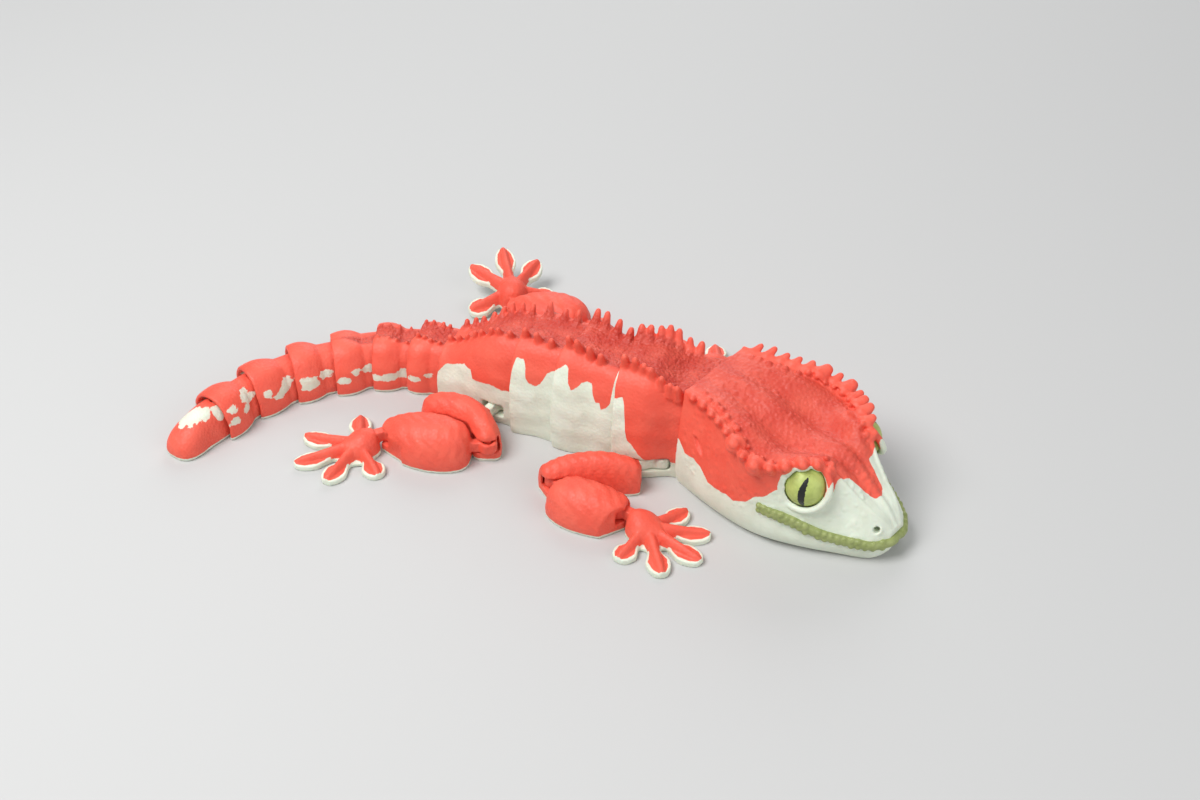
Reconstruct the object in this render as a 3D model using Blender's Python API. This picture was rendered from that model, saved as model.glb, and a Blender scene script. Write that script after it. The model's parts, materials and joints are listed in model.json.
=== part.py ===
"""Jointed gecko figure, printed in two colours of plastic.

Twelve body pieces hang on one another nose in cup, and four legs of three
pieces each hang on the chest and the pelvis. Every joint is an upright pin
in an eye. Lengths are in millimetres and angles in degrees; MM turns the
lengths into metres when a mesh is made. Plan coordinates are (x, y) seen
from above, with the tail to the left and the head to the right, and the
whole figure is set on the middle of its footprint at the end.
"""

import math
import random

import bmesh
import bpy
from mathutils import Matrix, Vector

MM = 0.001
SEED = 7

# Joints: pin, eye and the room between them
PIN_R = 1.3
EYE_HOLE_R = 1.85
EYE_R = 3.2
SLOT_R = 4.0
SLOT_Z = (3.2, 8.0)
TONGUE_Z = (3.7, 7.5)
TONGUE_HALF = 1.5
TONGUE_GAP = 0.6
PIN_ROOT = 0.8
STRAP_TOP = 1.2
STRAP_HALF = 1.8
NOSE_LIFT = 1.7
NOSE_STEP_R = 3.2

# Nose in cup: how far a rim reaches behind its pin, its wall, the room round
# the nose and over it, and the nose's length for its half width
RIM = 2.4
WALL = 1.3
CUP_GAP = 1.35
ROOF_GAP = 0.9
NOSE_SHAPE = 0.55
FRONT_GAP = 0.7
RIM_GAP = 0.3
RIM_CLEAR = 1.0
CUP_TURNS = (82.0, 62.0, 36.0, 0.0)
CUP_POWER = 3.0
CUP_LOW = 0.75
RAMP = 11.0

# Barrel shape of a tail piece: how quickly it widens, and how much it swells
BARREL_POWER = 2.5
BARREL = 0.7
BARREL_STATIONS = (0.0, 0.12, 0.35, 0.65, 1.0)

# Body pieces from the chest back: name, length from pin to pin, heading,
# swing of the joint in front each way from straight, half width and height
# at the rear rim, half spacing of the spine rows there, spines in a row,
# their length and their root radius
NECK_PIN = (38.4, -31.0)
HEAD_HEADING = -40.5
HEAD_RIM = (17.4, 34.8)
CHEST_ROW = 11.6
BODY = [
    ("chest", 28.4, -18.0, 25.0, 18.6, 37.0, 7.8, 7, 6.2, 1.7),
    ("torso_front", 19.3, -32.0, 16.0, 18.3, 36.5, 7.8, 4, 6.0, 1.6),
    ("torso_rear", 17.2, -28.0, 16.0, 17.6, 34.5, 7.2, 3, 5.0, 1.5),
    ("pelvis", 31.0, -27.0, 16.0, 13.4, 20.5, 4.6, 8, 4.2, 1.3),
    ("tail_1", 13.6, -19.0, 20.0, 12.0, 18.3, 3.8, 4, 3.0, 1.0),
    ("tail_2", 14.8, -4.0, 20.0, 11.4, 17.4, 3.0, 4, 1.8, 0.8),
    ("tail_3", 15.3, 12.0, 20.0, 10.9, 16.8, 0.0, 0, 0.0, 0.0),
    ("tail_4", 15.0, 20.0, 20.0, 10.3, 16.0, 0.0, 0, 0.0, 0.0),
    ("tail_5", 16.6, 35.0, 20.0, 9.5, 15.2, 0.0, 0, 0.0, 0.0),
    ("tail_6", 16.3, 51.0, 20.0, 9.2, 14.4, 0.0, 0, 0.0, 0.0),
]
TIP_HEADING = 53.0
TIP_SWING = 20.0
DIP = 1.3
DIP_ROW = 4.0
SPINE_LEAN = 20.0
SPINE_SINK = 1.6
ARCH_POINTS = 13
ARCH_POWER = 2.5
FLAT = 0.88
TUCK = 0.06

# Colours: the red coat, the green of eyes and lips
RED = (0.80, 0.095, 0.055, 1.0)
GREEN = (0.36, 0.42, 0.12, 1.0)


def unit(angle):
    """Plan direction of an angle."""
    return Vector((math.cos(math.radians(angle)), math.sin(math.radians(angle))))


def smooth(t):
    """0 to 1 with level ends."""
    t = min(max(t, 0.0), 1.0)
    return t * t * (3 - 2 * t)


def along(table, x):
    """Value at x of a table of (x, value) pairs."""
    if x <= table[0][0]:
        return table[0][1]
    for (x0, y0), (x1, y1) in zip(table, table[1:]):
        if x <= x1:
            return y0 + (y1 - y0) * (x - x0) / (x1 - x0)
    return table[-1][1]


def curve_point(points, t):
    """Point of the smooth curve through all points, t from 0 to 1."""
    span = t * (len(points) - 1)
    i = min(int(span), len(points) - 2)
    a = points[max(i - 1, 0)]
    b, c = points[i], points[i + 1]
    d = points[min(i + 2, len(points) - 1)]
    f = span - i
    return (b * 2 + (c - a) * f + (a * 2 - b * 5 + c * 4 - d) * f * f
            + (b * 3 - a - c * 3 + d) * f * f * f) / 2


# Meshes

def material(name, colour, roughness):
    found = bpy.data.materials.get(name)
    if found:
        return found
    made = bpy.data.materials.new(name)
    made.use_nodes = True
    shader = made.node_tree.nodes["Principled BSDF"]
    shader.inputs["Base Color"].default_value = colour
    shader.inputs["Roughness"].default_value = roughness
    shader.inputs["Metallic"].default_value = 0.0
    return made


def solid(name, points, faces, pin=(0.0, 0.0), heading=0.0):
    """Object of a closed mesh in millimetres, its origin on a pin."""
    mesh = bpy.data.meshes.new(name)
    mesh.from_pydata([Vector(p) * MM for p in points], [], faces)
    work = bmesh.new()
    work.from_mesh(mesh)
    bmesh.ops.recalc_face_normals(work, faces=work.faces)
    work.to_mesh(mesh)
    work.free()
    made = bpy.data.objects.new(name, mesh)
    bpy.context.scene.collection.objects.link(made)
    made.location = (pin[0] * MM, pin[1] * MM, 0.0)
    made.rotation_euler = (0.0, 0.0, math.radians(heading))
    return made


def loft(name, rings, pin=(0.0, 0.0), heading=0.0):
    """Closed solid through rings of as many points each."""
    count = len(rings[0])
    points = [p for ring in rings for p in ring]
    faces = [tuple(range(count))[::-1]]
    for i in range(len(rings) - 1):
        a, b = i * count, (i + 1) * count
        for k in range(count):
            n = (k + 1) % count
            faces.append((a + k, a + n, b + n, b + k))
    faces.append(tuple(range((len(rings) - 1) * count, len(rings) * count)))
    return solid(name, points, faces, pin, heading)


def prism(name, outline, low, high, pin=(0.0, 0.0), heading=0.0):
    """Upright solid over an outline in plan."""
    rings = [[(x, y, z) for x, y in outline] for z in (low, high)]
    return loft(name, rings, pin, heading)


def disc(radius, sides, centre=(0.0, 0.0), start=0.0):
    """Outline of a round piece."""
    return [tuple(Vector(centre) + radius * unit(start + 360.0 * i / sides)) for i in range(sides)]


def combine(target, pieces, operation, solver="MANIFOLD"):
    """Apply one Boolean of a collection of closed pieces, and remove them."""
    if not pieces:
        return
    group = bpy.data.collections.new("pieces")
    for piece in pieces:
        group.objects.link(piece)
    modifier = target.modifiers.new("combine", "BOOLEAN")
    modifier.operation = operation
    modifier.operand_type = "COLLECTION"
    modifier.collection = group
    modifier.solver = solver
    bpy.context.view_layer.update()
    state = bpy.context.evaluated_depsgraph_get()
    mesh = bpy.data.meshes.new_from_object(target.evaluated_get(state))
    target.modifiers.clear()
    target.data = mesh
    for piece in pieces:
        bpy.data.objects.remove(piece)
    bpy.data.collections.remove(group)


def keep_largest(target):
    """Keep only the largest closed surface of a mesh."""
    work = bmesh.new()
    work.from_mesh(target.data)
    left, islands = set(work.verts), []
    while left:
        island, front = set(), [left.pop()]
        while front:
            vert = front.pop()
            island.add(vert)
            for edge in vert.link_edges:
                other = edge.other_vert(vert)
                if other in left:
                    left.discard(other)
                    front.append(other)
        islands.append(island)
    islands.sort(key=len)
    loose = [vert for island in islands[:-1] for vert in island]
    bmesh.ops.delete(work, geom=loose, context="VERTS")
    work.to_mesh(target.data)
    work.free()


def finish(target, name, colour_name="red_plastic", colour=RED):
    """Name, clean and paint a node."""
    keep_largest(target)
    target.name = name
    target.data.name = name
    target.data.materials.clear()
    target.data.materials.append(material(colour_name, colour, 0.55))
    target.data.shade_smooth()
    target.data.set_sharp_from_angle(angle=math.radians(35))
    return target


# Body pieces

def arch(half, top, row=0.0, points=ARCH_POINTS, power=ARCH_POWER, floor=0.0, tuck=TUCK):
    """Arched section (y, z) from the near side over the back to the far side."""
    ring, flat = [], FLAT * row
    for i in range(points):
        turn = math.pi * i / (points - 1)
        side = -math.cos(turn) if 2 * i != points - 1 else 0.0
        y = math.copysign(flat * (side != 0) + (half - flat) * abs(side) ** (2 / power), side)
        z = top * max(math.sin(turn), 0.0) ** (2 / power)
        if abs(y) < row:
            z -= dip_of(row) * (1 - (y / row) ** 2)
        low = max(1 - z / (0.3 * top), 0.0)
        y *= 1 - tuck * low * low
        ring.append((y, max(z, floor)))
    ring[0] = (ring[0][0], floor)
    ring[-1] = (ring[-1][0], floor)
    return ring


def dip_of(row):
    """Depth of the hollow between rows of spines, less where they close up."""
    return DIP * min(row / DIP_ROW, 1.0) ** 2


def row_height(half, top, row):
    """Height of an arched section at a row of spines."""
    out = (row - FLAT * row) / (half - FLAT * row)
    return top * (1 - out ** ARCH_POWER) ** (1 / ARCH_POWER)


def body_pieces():
    """Named sizes of each body piece, with the cup in front of it."""
    made = []
    pin, front_half, front_top, front_row = Vector(NECK_PIN), *HEAD_RIM, CHEST_ROW
    for name, length, heading, swing, half, top, row, count, height, root in BODY:
        made.append(dict(
            name=name, pin=pin, heading=heading, length=length, swing=swing,
            half=half, top=top, row=row,
            nose=front_half - WALL - CUP_GAP, nose_top=front_top - WALL - ROOF_GAP,
            nose_row=front_row, count=count, height=height, root=root))
        pin = pin - length * unit(heading)
        front_half, front_top, front_row = half, top, row
    return made, pin, front_half, front_top


def swing_start(nose, swing):
    """How far behind its pin a nose stays straight, to turn in its cup."""
    return RIM + (nose + CUP_GAP + WALL) * math.sin(math.radians(swing)) + RIM_CLEAR


def profile(piece, x):
    """Half width, height and row spacing of a body piece, x behind its pin."""
    start = swing_start(piece["nose"], piece["swing"])
    end = piece["length"] + RIM
    full = (x - start) / (end - start)
    rise = (x - start) / min(end - start, RAMP)
    t = smooth(rise if piece["top"] > piece["nose_top"] else full)
    swell = 0.0
    if piece["name"].startswith("tail"):
        share = min(max(full, 0.0), 1.0)
        t = 1 - (1 - share) ** BARREL_POWER
        swell = BARREL * 4 * share * (1 - share)
    half = piece["nose"] + (piece["half"] - piece["nose"]) * t + swell
    top = piece["nose_top"] + (piece["top"] - piece["nose_top"]) * t + swell
    row = piece["nose_row"] + (piece["row"] - piece["nose_row"]) * smooth(full)
    return half, top, row


def nose_rings(half, top, row, reach, low=0.8, floor=0.0, turns=(68.0, 36.0, 0.0), power=2.0):
    """Rings of a rounded nose from its tip to its pin."""
    rings = []
    for turn in turns:
        side = math.cos(math.radians(turn)) ** (2 / power)
        x = reach * math.sin(math.radians(turn)) ** (2 / power)
        height = top * (low + (1 - low) * side)
        rings.append([(x, y, z) for y, z in arch(half * side, height, row * side, floor=floor)])
    return rings


def cup_tools(pin, heading, back, follower):
    """Cutter of a cup round the pin at back, and the strap and post in it."""
    nose, nose_top, row, swing = follower
    turn = math.radians(swing)
    reach = nose * math.hypot(NOSE_SHAPE * math.cos(turn), math.sin(turn)) + FRONT_GAP
    half, roof = max(nose + CUP_GAP, nose / math.cos(turn) + RIM_GAP), nose_top + ROOF_GAP
    rings = nose_rings(half, roof, row / math.cos(turn), reach, CUP_LOW, -1.0, CUP_TURNS, CUP_POWER)
    rim, rim_row = ((size + (RIM + 1.0) * math.sin(turn)) / math.cos(turn) for size in (nose, row))
    section = arch(max(rim + RIM_GAP, half), roof, rim_row if row else 0.0, floor=-1.0)
    rings.append([(-RIM - 1.0, y, z) for y, z in section])
    rings = [[(x - back, y, z) for x, y, z in ring] for ring in rings]
    cutter = loft("cup", rings, pin, heading)
    tail, tip = -back - PIN_R - 0.6, reach + 1.0 - back
    outline = [(tail, -STRAP_HALF), (tip, -STRAP_HALF), (tip, STRAP_HALF), (tail, STRAP_HALF)]
    bar = prism("strap", outline, 0.0, STRAP_TOP, pin, heading)
    top = roof - dip_of(row) + PIN_ROOT
    post = prism("post", disc(PIN_R, 8, (-back, 0.0)), 0.0, top, pin, heading)
    return cutter, bar, post


def nose_cutters(pin, heading, nose, nose_top):
    """Eye hole through a nose, and the step that clears the strap."""
    reach, wide = nose * NOSE_SHAPE + 1.0, nose + 1.0
    bend = [tuple(NOSE_STEP_R * unit(a)) for a in range(90, 271, 30)]
    outline = [(reach, -wide), (reach, wide), (0.0, wide)] + bend + [(0.0, -wide)]
    step = prism("step", outline, -1.0, NOSE_LIFT, pin, heading)
    hole = prism("hole", disc(EYE_HOLE_R, 10), -2.0, nose_top + 2.0, pin, heading)
    return [step, hole]


def spine(foot, lean, height, root, pin, heading, sides=5):
    """One blunt spine, its root sunk into what it grows from."""
    lean = Vector(lean).normalized()
    turn = Vector((0, 0, 1)).rotation_difference(lean).to_matrix()
    rings = []
    for up, radius in ((-SPINE_SINK, root * 1.15), (height, root * 0.58)):
        ring = []
        for i in range(sides):
            a = 2 * math.pi * i / sides
            ring.append(Vector(foot) + turn @ Vector((radius * math.cos(a), radius * math.sin(a), up)))
        rings.append(ring)
    return loft("spine", rings, pin, heading)


def row_spines(piece, rng):
    """Both rows of spines along the back of a body piece."""
    made = []
    reach = piece["nose_row"] + piece["root"]
    first = RIM + reach * math.sin(math.radians(piece["swing"])) + 1.3 * piece["root"] + 0.4
    last = piece["length"] + RIM - 1.8
    for side in (-1, 1):
        for i in range(piece["count"]):
            x = first + (last - first) * (i + 0.15 * rng.uniform(-1, 1)) / max(piece["count"] - 1, 1)
            half, top, row = profile(piece, x)
            y = side * row
            foot = (-x, y, row_height(half, top, row) - 0.3)
            lean = (rng.uniform(-0.1, 0.15), side * math.tan(math.radians(SPINE_LEAN)), 1.0)
            height = piece["height"] * rng.uniform(0.72, 1.05)
            made.append(spine(foot, lean, height, piece["root"], piece["pin"], piece["heading"]))
    return made


def stations_of(piece, start, end):
    """Where along a body piece its sections are taken."""
    if piece["name"].startswith("tail"):
        return [start + (end - start) * share for share in BARREL_STATIONS]
    ramp = RAMP if end - start > RAMP + 3 else end - start
    stations = [start, start + 0.5 * ramp, start + ramp]
    if ramp < end - start:
        stations.append((stations[-1] + end) / 2)
        stations.append(end)
    return stations


def body_piece(piece, follower, rng):
    """One body piece: nose in front, spines on the back, cup behind."""
    pin, heading, nose, nose_top = (piece[key] for key in ("pin", "heading", "nose", "nose_top"))
    rings = nose_rings(nose, nose_top, piece["nose_row"], nose * NOSE_SHAPE)
    start = swing_start(nose, piece["swing"])
    end = piece["length"] + RIM
    for x in stations_of(piece, start, end):
        rings.append([(-x, y, z) for y, z in arch(*profile(piece, x))])
    shell = loft(piece["name"], rings, pin, heading)
    combine(shell, row_spines(piece, rng), "UNION")
    cup, bar, post = cup_tools(pin, heading, piece["length"], follower)
    combine(shell, [cup] + nose_cutters(pin, heading, nose, nose_top), "DIFFERENCE")
    combine(shell, [bar, post], "UNION")
    return shell


TIP_SHAPE = ((5.0, 1.0, 1.0), (9.5, 0.97, 0.93), (13.5, 1.02, 0.8), (17.0, 0.95, 0.62),
             (19.6, 0.68, 0.42), (20.4, 0.3, 0.2))


def tail_tip(pin, nose, nose_top):
    """The rounded last piece of the tail."""
    rings = nose_rings(nose, nose_top, 0.0, nose * NOSE_SHAPE)
    for x, wide, high in TIP_SHAPE:
        rings.append([(-x, y, z) for y, z in arch(nose * wide, nose_top * high)])
    shell = loft("tail_tip", rings, pin, TIP_HEADING)
    combine(shell, nose_cutters(pin, TIP_HEADING, nose, nose_top), "DIFFERENCE")
    return shell


# Head: sizes along its length from the neck pin, x forward

HEAD_LENGTH = 69.0
HEAD_STATIONS = (-RIM, 4.0, 11.0, 18.0, 24.0, 29.0, 34.0, 40.0, 46.0, 50.5, 55.5, 60.5, 65.0, 67.5,
                 HEAD_LENGTH)
JAW_HALF = [(-2.4, 19.3), (5, 21.5), (15, 24), (28, 25), (38, 24), (48, 20), (56, 15.5),
            (62, 12), (66, 9), (69, 4.5)]
JAW_Z = [(-2.4, 9), (30, 8), (50, 6.5), (69, 6)]
CREST_HALF = [(-2.4, 15.6), (4, 16.4), (13, 19.2), (21, 22.2), (27, 24.5), (34, 24), (40, 19.5),
              (46, 14.5), (51, 10.5), (58, 7.5), (64, 5.5), (69, 2.5)]
CREST_Z = [(-2.4, 35.8), (8, 35.8), (20, 34.5), (27, 32), (34, 30.5), (40, 31.5), (46, 32.5),
           (50, 29.5), (55, 24), (60, 19), (65, 15), (69, 10)]
FURROW = [(-2.4, 0.0), (8, 0.9), (14, 1.9), (20, 2.8), (36, 3.8), (46, 4.2), (53, 1.4), (60, 0.3), (69, 0.0)]
RIDGE = [(-2.4, 0.4), (10, 0.2), (25, -0.6), (38, -2.0), (46, -2.8), (51, -0.6), (56, 1.0), (62, 1.0),
         (69, 0.5)]
CHIN_HALF = [(-2.4, 17.5), (10, 20), (30, 21.5), (45, 17), (58, 11.5), (65, 8), (69, 3.5)]
CHIN_Z = [(-2.4, 0), (63, 0), (67, 0.8), (69, 2.8)]

EYE_PLACE = (44.2, 14.4, 23.2)
EYE_BALL = 7.0
EYE_GAP = 0.35
LIP_Z = [(33, 14.8), (43, 13), (48, 11), (57, 8), (66, 6.4), (69, 6.4)]
LIP_SPAN = (33.0, 68.0)
LIP_STEPS = 7
LIP_R = 1.5


def head_section(x):
    """Section (y, z) of the head from the near side over the top."""
    chin, chin_z = along(CHIN_HALF, x), along(CHIN_Z, x)
    jaw, jaw_z = along(JAW_HALF, x), along(JAW_Z, x)
    crest, crest_z = along(CREST_HALF, x), along(CREST_Z, x)
    furrow, ridge = along(FURROW, x), along(RIDGE, x)
    side = [(chin, chin_z), ((chin + 2 * jaw) / 3, chin_z + (jaw_z - chin_z) * 0.35), (jaw, jaw_z),
            (jaw * 0.72 + crest * 0.28, jaw_z + (crest_z - jaw_z) * 0.4),
            (jaw * 0.25 + crest * 0.75, jaw_z + (crest_z - jaw_z) * 0.8), (crest, crest_z),
            (crest * 0.85, crest_z - furrow * 0.45), (crest * 0.6, crest_z - furrow * 0.25),
            (crest * 0.3, crest_z - furrow)]
    near = [(-y, z) for y, z in side]
    return near + [(0.0, crest_z + ridge)] + side[::-1]


def ball(name, centre, radius, pin, heading, rings=8, sides=12):
    """Round solid of flat faces."""
    made = []
    for i in range(1, rings):
        a = math.pi * i / rings
        made.append([(centre[0] + radius * math.sin(a) * math.cos(2 * math.pi * k / sides),
                      centre[1] + radius * math.sin(a) * math.sin(2 * math.pi * k / sides),
                      centre[2] - radius * math.cos(a)) for k in range(sides)])
    return loft(name, made, pin, heading)


def lips(pin):
    """Raised strip along the mouth, from one corner round the snout."""
    start, end = LIP_SPAN
    path = []
    for i in range(LIP_STEPS):
        x = start + (end - start) * i / (LIP_STEPS - 1)
        path.append(Vector((x, -along(JAW_HALF, x) + 0.2, along(LIP_Z, x))))
    front = Vector((HEAD_LENGTH + 0.2, 0.0, along(LIP_Z, HEAD_LENGTH)))
    path = path + [front] + [Vector((p.x, -p.y, p.z)) for p in reversed(path)]
    rings = []
    for i, point in enumerate(path):
        ahead = path[min(i + 1, len(path) - 1)] - path[max(i - 1, 0)]
        out = Vector((ahead.y, -ahead.x, 0.0)).normalized()
        size = LIP_R * (0.6 if i in (0, len(path) - 1) else 1.0)
        rings.append([point + out * size * math.cos(a) + Vector((0, 0, size * math.sin(a)))
                      for a in (0.0, 1.25, 2.5, 3.78, 5.03)])
    return loft("lips", rings, pin, HEAD_HEADING)


# Spines of a crest: place along the head, length and root radius
CREST_SPINES = [(1.5, 3.4, 1.3), (6.0, 4.0, 1.4), (10.5, 3.4, 1.3), (14.5, 3.6, 1.3), (18.8, 3.4, 1.4),
                (23.0, 4.0, 2.3), (27.2, 3.4, 1.4), (31.8, 4.2, 2.4), (36.0, 3.2, 1.5), (39.6, 3.6, 1.9),
                (43.4, 3.4, 1.9), (46.8, 3.0, 1.6), (49.8, 2.6, 1.4)]


def crest_spines(pin, rng):
    """Blunt spines along both crests of the head."""
    made = []
    for side in (-1, 1):
        for x, height, root in CREST_SPINES:
            foot = (x, side * along(CREST_HALF, x), along(CREST_Z, x) - 0.8)
            lean = (rng.uniform(0.3, 0.7), side, 0.8)
            height *= rng.uniform(0.9, 1.15)
            made.append(spine(foot, lean, height, root, pin, HEAD_HEADING))
    return made


def head(pin, follower):
    """The head, with its cup for the neck, eye sockets and lips."""
    rng = random.Random(SEED)
    rings = [[(x, y, z) for y, z in head_section(x)] for x in HEAD_STATIONS]
    shell = loft("head", rings, pin, HEAD_HEADING)
    combine(shell, [lips(pin)] + crest_spines(pin, rng), "UNION")
    cup, bar, post = cup_tools(pin, HEAD_HEADING, 0.0, follower)
    sockets = []
    for side in (-1, 1):
        x, y, z = EYE_PLACE
        sockets.append(ball("socket", (x, side * y, z), EYE_BALL + EYE_GAP, pin, HEAD_HEADING))
    combine(shell, [cup] + sockets, "DIFFERENCE")
    combine(shell, [bar, post], "UNION")
    return shell


# Legs: each place is how far it lies behind the neck pin and to the right,
# seen along the chest, for an arm, and in plan for a leg

ARM = dict(
    shoulder=(15.5, 12.5), elbow=(45.4, 32.1), wrist=(21.6, 39.9),
    upper=[(19.2, 22.5), (25.0, 23.8), (33.5, 25.6), (40.5, 28.6), (45.5, 32.2), (48.4, 35.0)],
    lower=[(42.8, 38.0), (39.5, 39.6), (33, 40.9), (26, 41.5), (20.6, 41.5), (18.3, 41.4)],
    hand=-20.0)
LEG = {
    "right": dict(
        hip=(10.0, 9.0), knee=(-36.8, -31.0), ankle=(-69.0, -24.2), foot=203.0, tilt=0.0,
        upper=[(-60.0, -12.0), (-56, -12.6), (-49, -14.8), (-42.5, -19), (-38.9, -24.3), (-37.4, -28.8),
               (-37.4, -32.8)],
        lower=[(-42.5, -32.2), (-46, -31.5), (-54, -29.3), (-62, -26.5), (-68, -24.4), (-71.4, -23.4)]),
    "left": dict(
        hip=(10.0, 9.0), knee=(0.5, 33.6), ankle=(-30.8, 46.0), foot=98.0, tilt=20.0,
        upper=[(-35, 27.4), (-31, 25.6), (-24, 22.8), (-16, 21.2), (-7.5, 23.8), (-1.2, 30.0), (1.6, 35.6)],
        lower=[(-4.9, 36.7), (-8, 38.3), (-15, 41.2), (-23, 43.8), (-29.3, 45.6), (-33.3, 46.6)]),
}
UPPER_LEG = [(0.0, 2.0, 6), (0.08, 4.4, 10), (0.25, 6.0, 13), (0.45, 6.2, 14), (0.63, 5.8, 13.5),
             (0.82, 5.2, 12), (0.93, 4.6, 10.8), (1.0, 2.4, 9.6)]
LOWER_LEG = [(0.0, 2.8, 8), (0.08, 5.4, 11), (0.22, 8.4, 13.5), (0.4, 10.2, 14.5), (0.6, 9.5, 13.5),
             (0.78, 7.2, 11.5), (0.92, 5.4, 9.8), (1.0, 4.4, 9.2)]
UPPER_ARM = [(0.0, 3.0, 9), (0.09, 4.2, 11.5), (0.3, 5.3, 13.5), (0.55, 5.8, 13), (0.8, 5.4, 11.8),
             (0.93, 4.8, 10.8), (1.0, 2.8, 9.6)]
LOWER_ARM = [(0.0, 3.0, 8), (0.1, 6.0, 11), (0.3, 8.6, 13), (0.55, 8.8, 12.8), (0.8, 7.6, 11),
             (0.93, 7.0, 10.0), (1.0, 6.4, 9.4)]

# Toes: angle from the foot's axis, and length from the middle of the palm
HAND_TOES = [(-90, 15.3), (-39, 19.3), (0, 20.8), (36, 20), (77, 16.9)]
FOOT_TOES = [(-108, 17.5), (-44, 20.6), (-4, 21.9), (37, 18.6), (97, 15.6)]
PALM_AHEAD = 11.5
PALM = [(5.0, 2.8, 6.0), (6.6, 4.6, 8.4), (10.5, 6.2, 8.6), (14.0, 5.2, 7.0), (16.5, 3.0, 5.6)]
PAD_TOP = 2.0
PAD_SHAPE = [(0.1, 2.0), (0.44, 2.0), (0.68, 3.8), (0.86, 3.3), (1.0, 0.7)]
RIDGE_SHAPE = [(0.05, 2.6, 6.4), (0.5, 1.9, 4.8), (0.9, 1.5, 3.4), (1.0, 0.8, 2.4)]
HEEL = 2.2
TOE_ROOT = 6.5
SLOT_REACH = 13.0
LIMB_ROOM = 0.5
FOOT_ROOM = 4.5

# Room for each joint's turn on the right side, away from the body positive
ARM_SWINGS = ((-4, 19), (-39, 4), (-24, 24))
LEG_SWINGS = ((-4, 16), (-4, 54), (-24, 24))

# Point of an upper limb's line that its tongue from the body runs to
TONGUE_TO = {"arm_upper_": 2, "thigh_": 3}


def limb(name, path, sizes, pin, floor=0.0):
    """Arched piece along a smooth line in plan, its origin on its pin."""
    line = [Vector(p) - pin for p in path]
    rings = []
    for t, half, top in sizes:
        here = curve_point(line, t)
        ahead = curve_point(line, min(t + 0.02, 1.0)) - curve_point(line, max(t - 0.02, 0.0))
        across = Vector((-ahead.y, ahead.x)).normalized()
        rings.append([(here.x + across.x * y, here.y + across.y * y, z)
                      for y, z in arch(half, top, points=9, power=2.3, floor=floor)])
    return loft(name, rings, pin)


def grown(sizes, room):
    """Sizes of a limb with room all round it."""
    return [(t, half + room, top + room) for t, half, top in sizes]


def make_room(parent, path, sizes, pin, turn):
    """Cut out of a piece what the limb on its pin sweeps."""
    low, high = turn
    swept = []
    for angle in (low, 0.0, (low + high) / 2, high):
        cutter = limb("room", path, grown(sizes, LIMB_ROOM), pin, -1.0)
        cutter.rotation_euler = (0.0, 0.0, math.radians(angle))
        swept.append(cutter)
    combine(parent, swept, "DIFFERENCE")


def make_foot_room(parent, pin, heading, turn):
    """Cut the end of a limb back to where the foot's heel sweeps."""
    outline = [(FOOT_ROOM, -10.0), (FOOT_ROOM + 12.0, -10.0), (FOOT_ROOM + 12.0, 10.0), (FOOT_ROOM, 10.0)]
    swept = [prism("room", outline, -1.0, 20.0, pin, heading + angle) for angle in (turn[0], 0.0, turn[1])]
    combine(parent, swept, "DIFFERENCE")


def angle_to(start, end):
    """Plan angle from one point to another."""
    return math.degrees(math.atan2(end[1] - start[1], end[0] - start[0]))


def add_tongue(target, pin, toward, length):
    """Give a piece its eye on its pin, and the tongue that carries it."""
    ahead, across = unit(toward), unit(toward + 90)
    corners = ((-1, 0), (-1, length), (1, length), (1, 0))
    bar = [tuple(s * TONGUE_HALF * across + d * ahead) for s, d in corners]
    pieces = [prism("eye", disc(EYE_R, 10), *TONGUE_Z, pin), prism("tongue", bar, *TONGUE_Z, pin)]
    combine(target, pieces, "UNION")
    hole = prism("hole", disc(EYE_HOLE_R, 10), TONGUE_Z[0] - 0.4, TONGUE_Z[1] + 0.4, pin)
    combine(target, [hole], "DIFFERENCE")


def add_socket(target, pin, mouth, swing):
    """Cut a slot into a piece, open toward an angle, and set the pin across it."""
    low, high = swing
    edge = TONGUE_HALF + TONGUE_GAP
    outline = [tuple(SLOT_R * unit(mouth + a)) for a in range(80, 281, 25)]
    for turn, side in ((low, -1), (high, 1)):
        outline.append(tuple(SLOT_REACH * unit(mouth + turn) + side * edge * unit(mouth + turn + 90)))
    combine(target, [prism("slot", outline, *SLOT_Z, pin)], "DIFFERENCE")
    post = prism("post", disc(PIN_R, 8), SLOT_Z[0] - PIN_ROOT, SLOT_Z[1] + PIN_ROOT, pin)
    combine(target, [post], "UNION")


def toe(palm, angle, length, lift):
    """Pad and ridge of one toe, as rings in the foot's own frame."""
    ahead, across = unit(angle), unit(angle + 90)
    left = [palm + ahead * length * t + across * w for t, w in PAD_SHAPE]
    right = [palm + ahead * length * t - across * w for t, w in PAD_SHAPE]
    outline = left + right[::-1]
    pad = [[lift((p.x, p.y, z)) for p in outline] for z in (0.0, PAD_TOP)]
    ridge = []
    for t, half, top in RIDGE_SHAPE:
        here = palm + ahead * length * t
        ridge.append([lift((here.x + across.x * y, here.y + across.y * y, z + 0.4))
                      for y, z in arch(half, top - 0.4, points=5, power=2.0, tuck=0.0)])
    return pad, ridge


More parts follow.
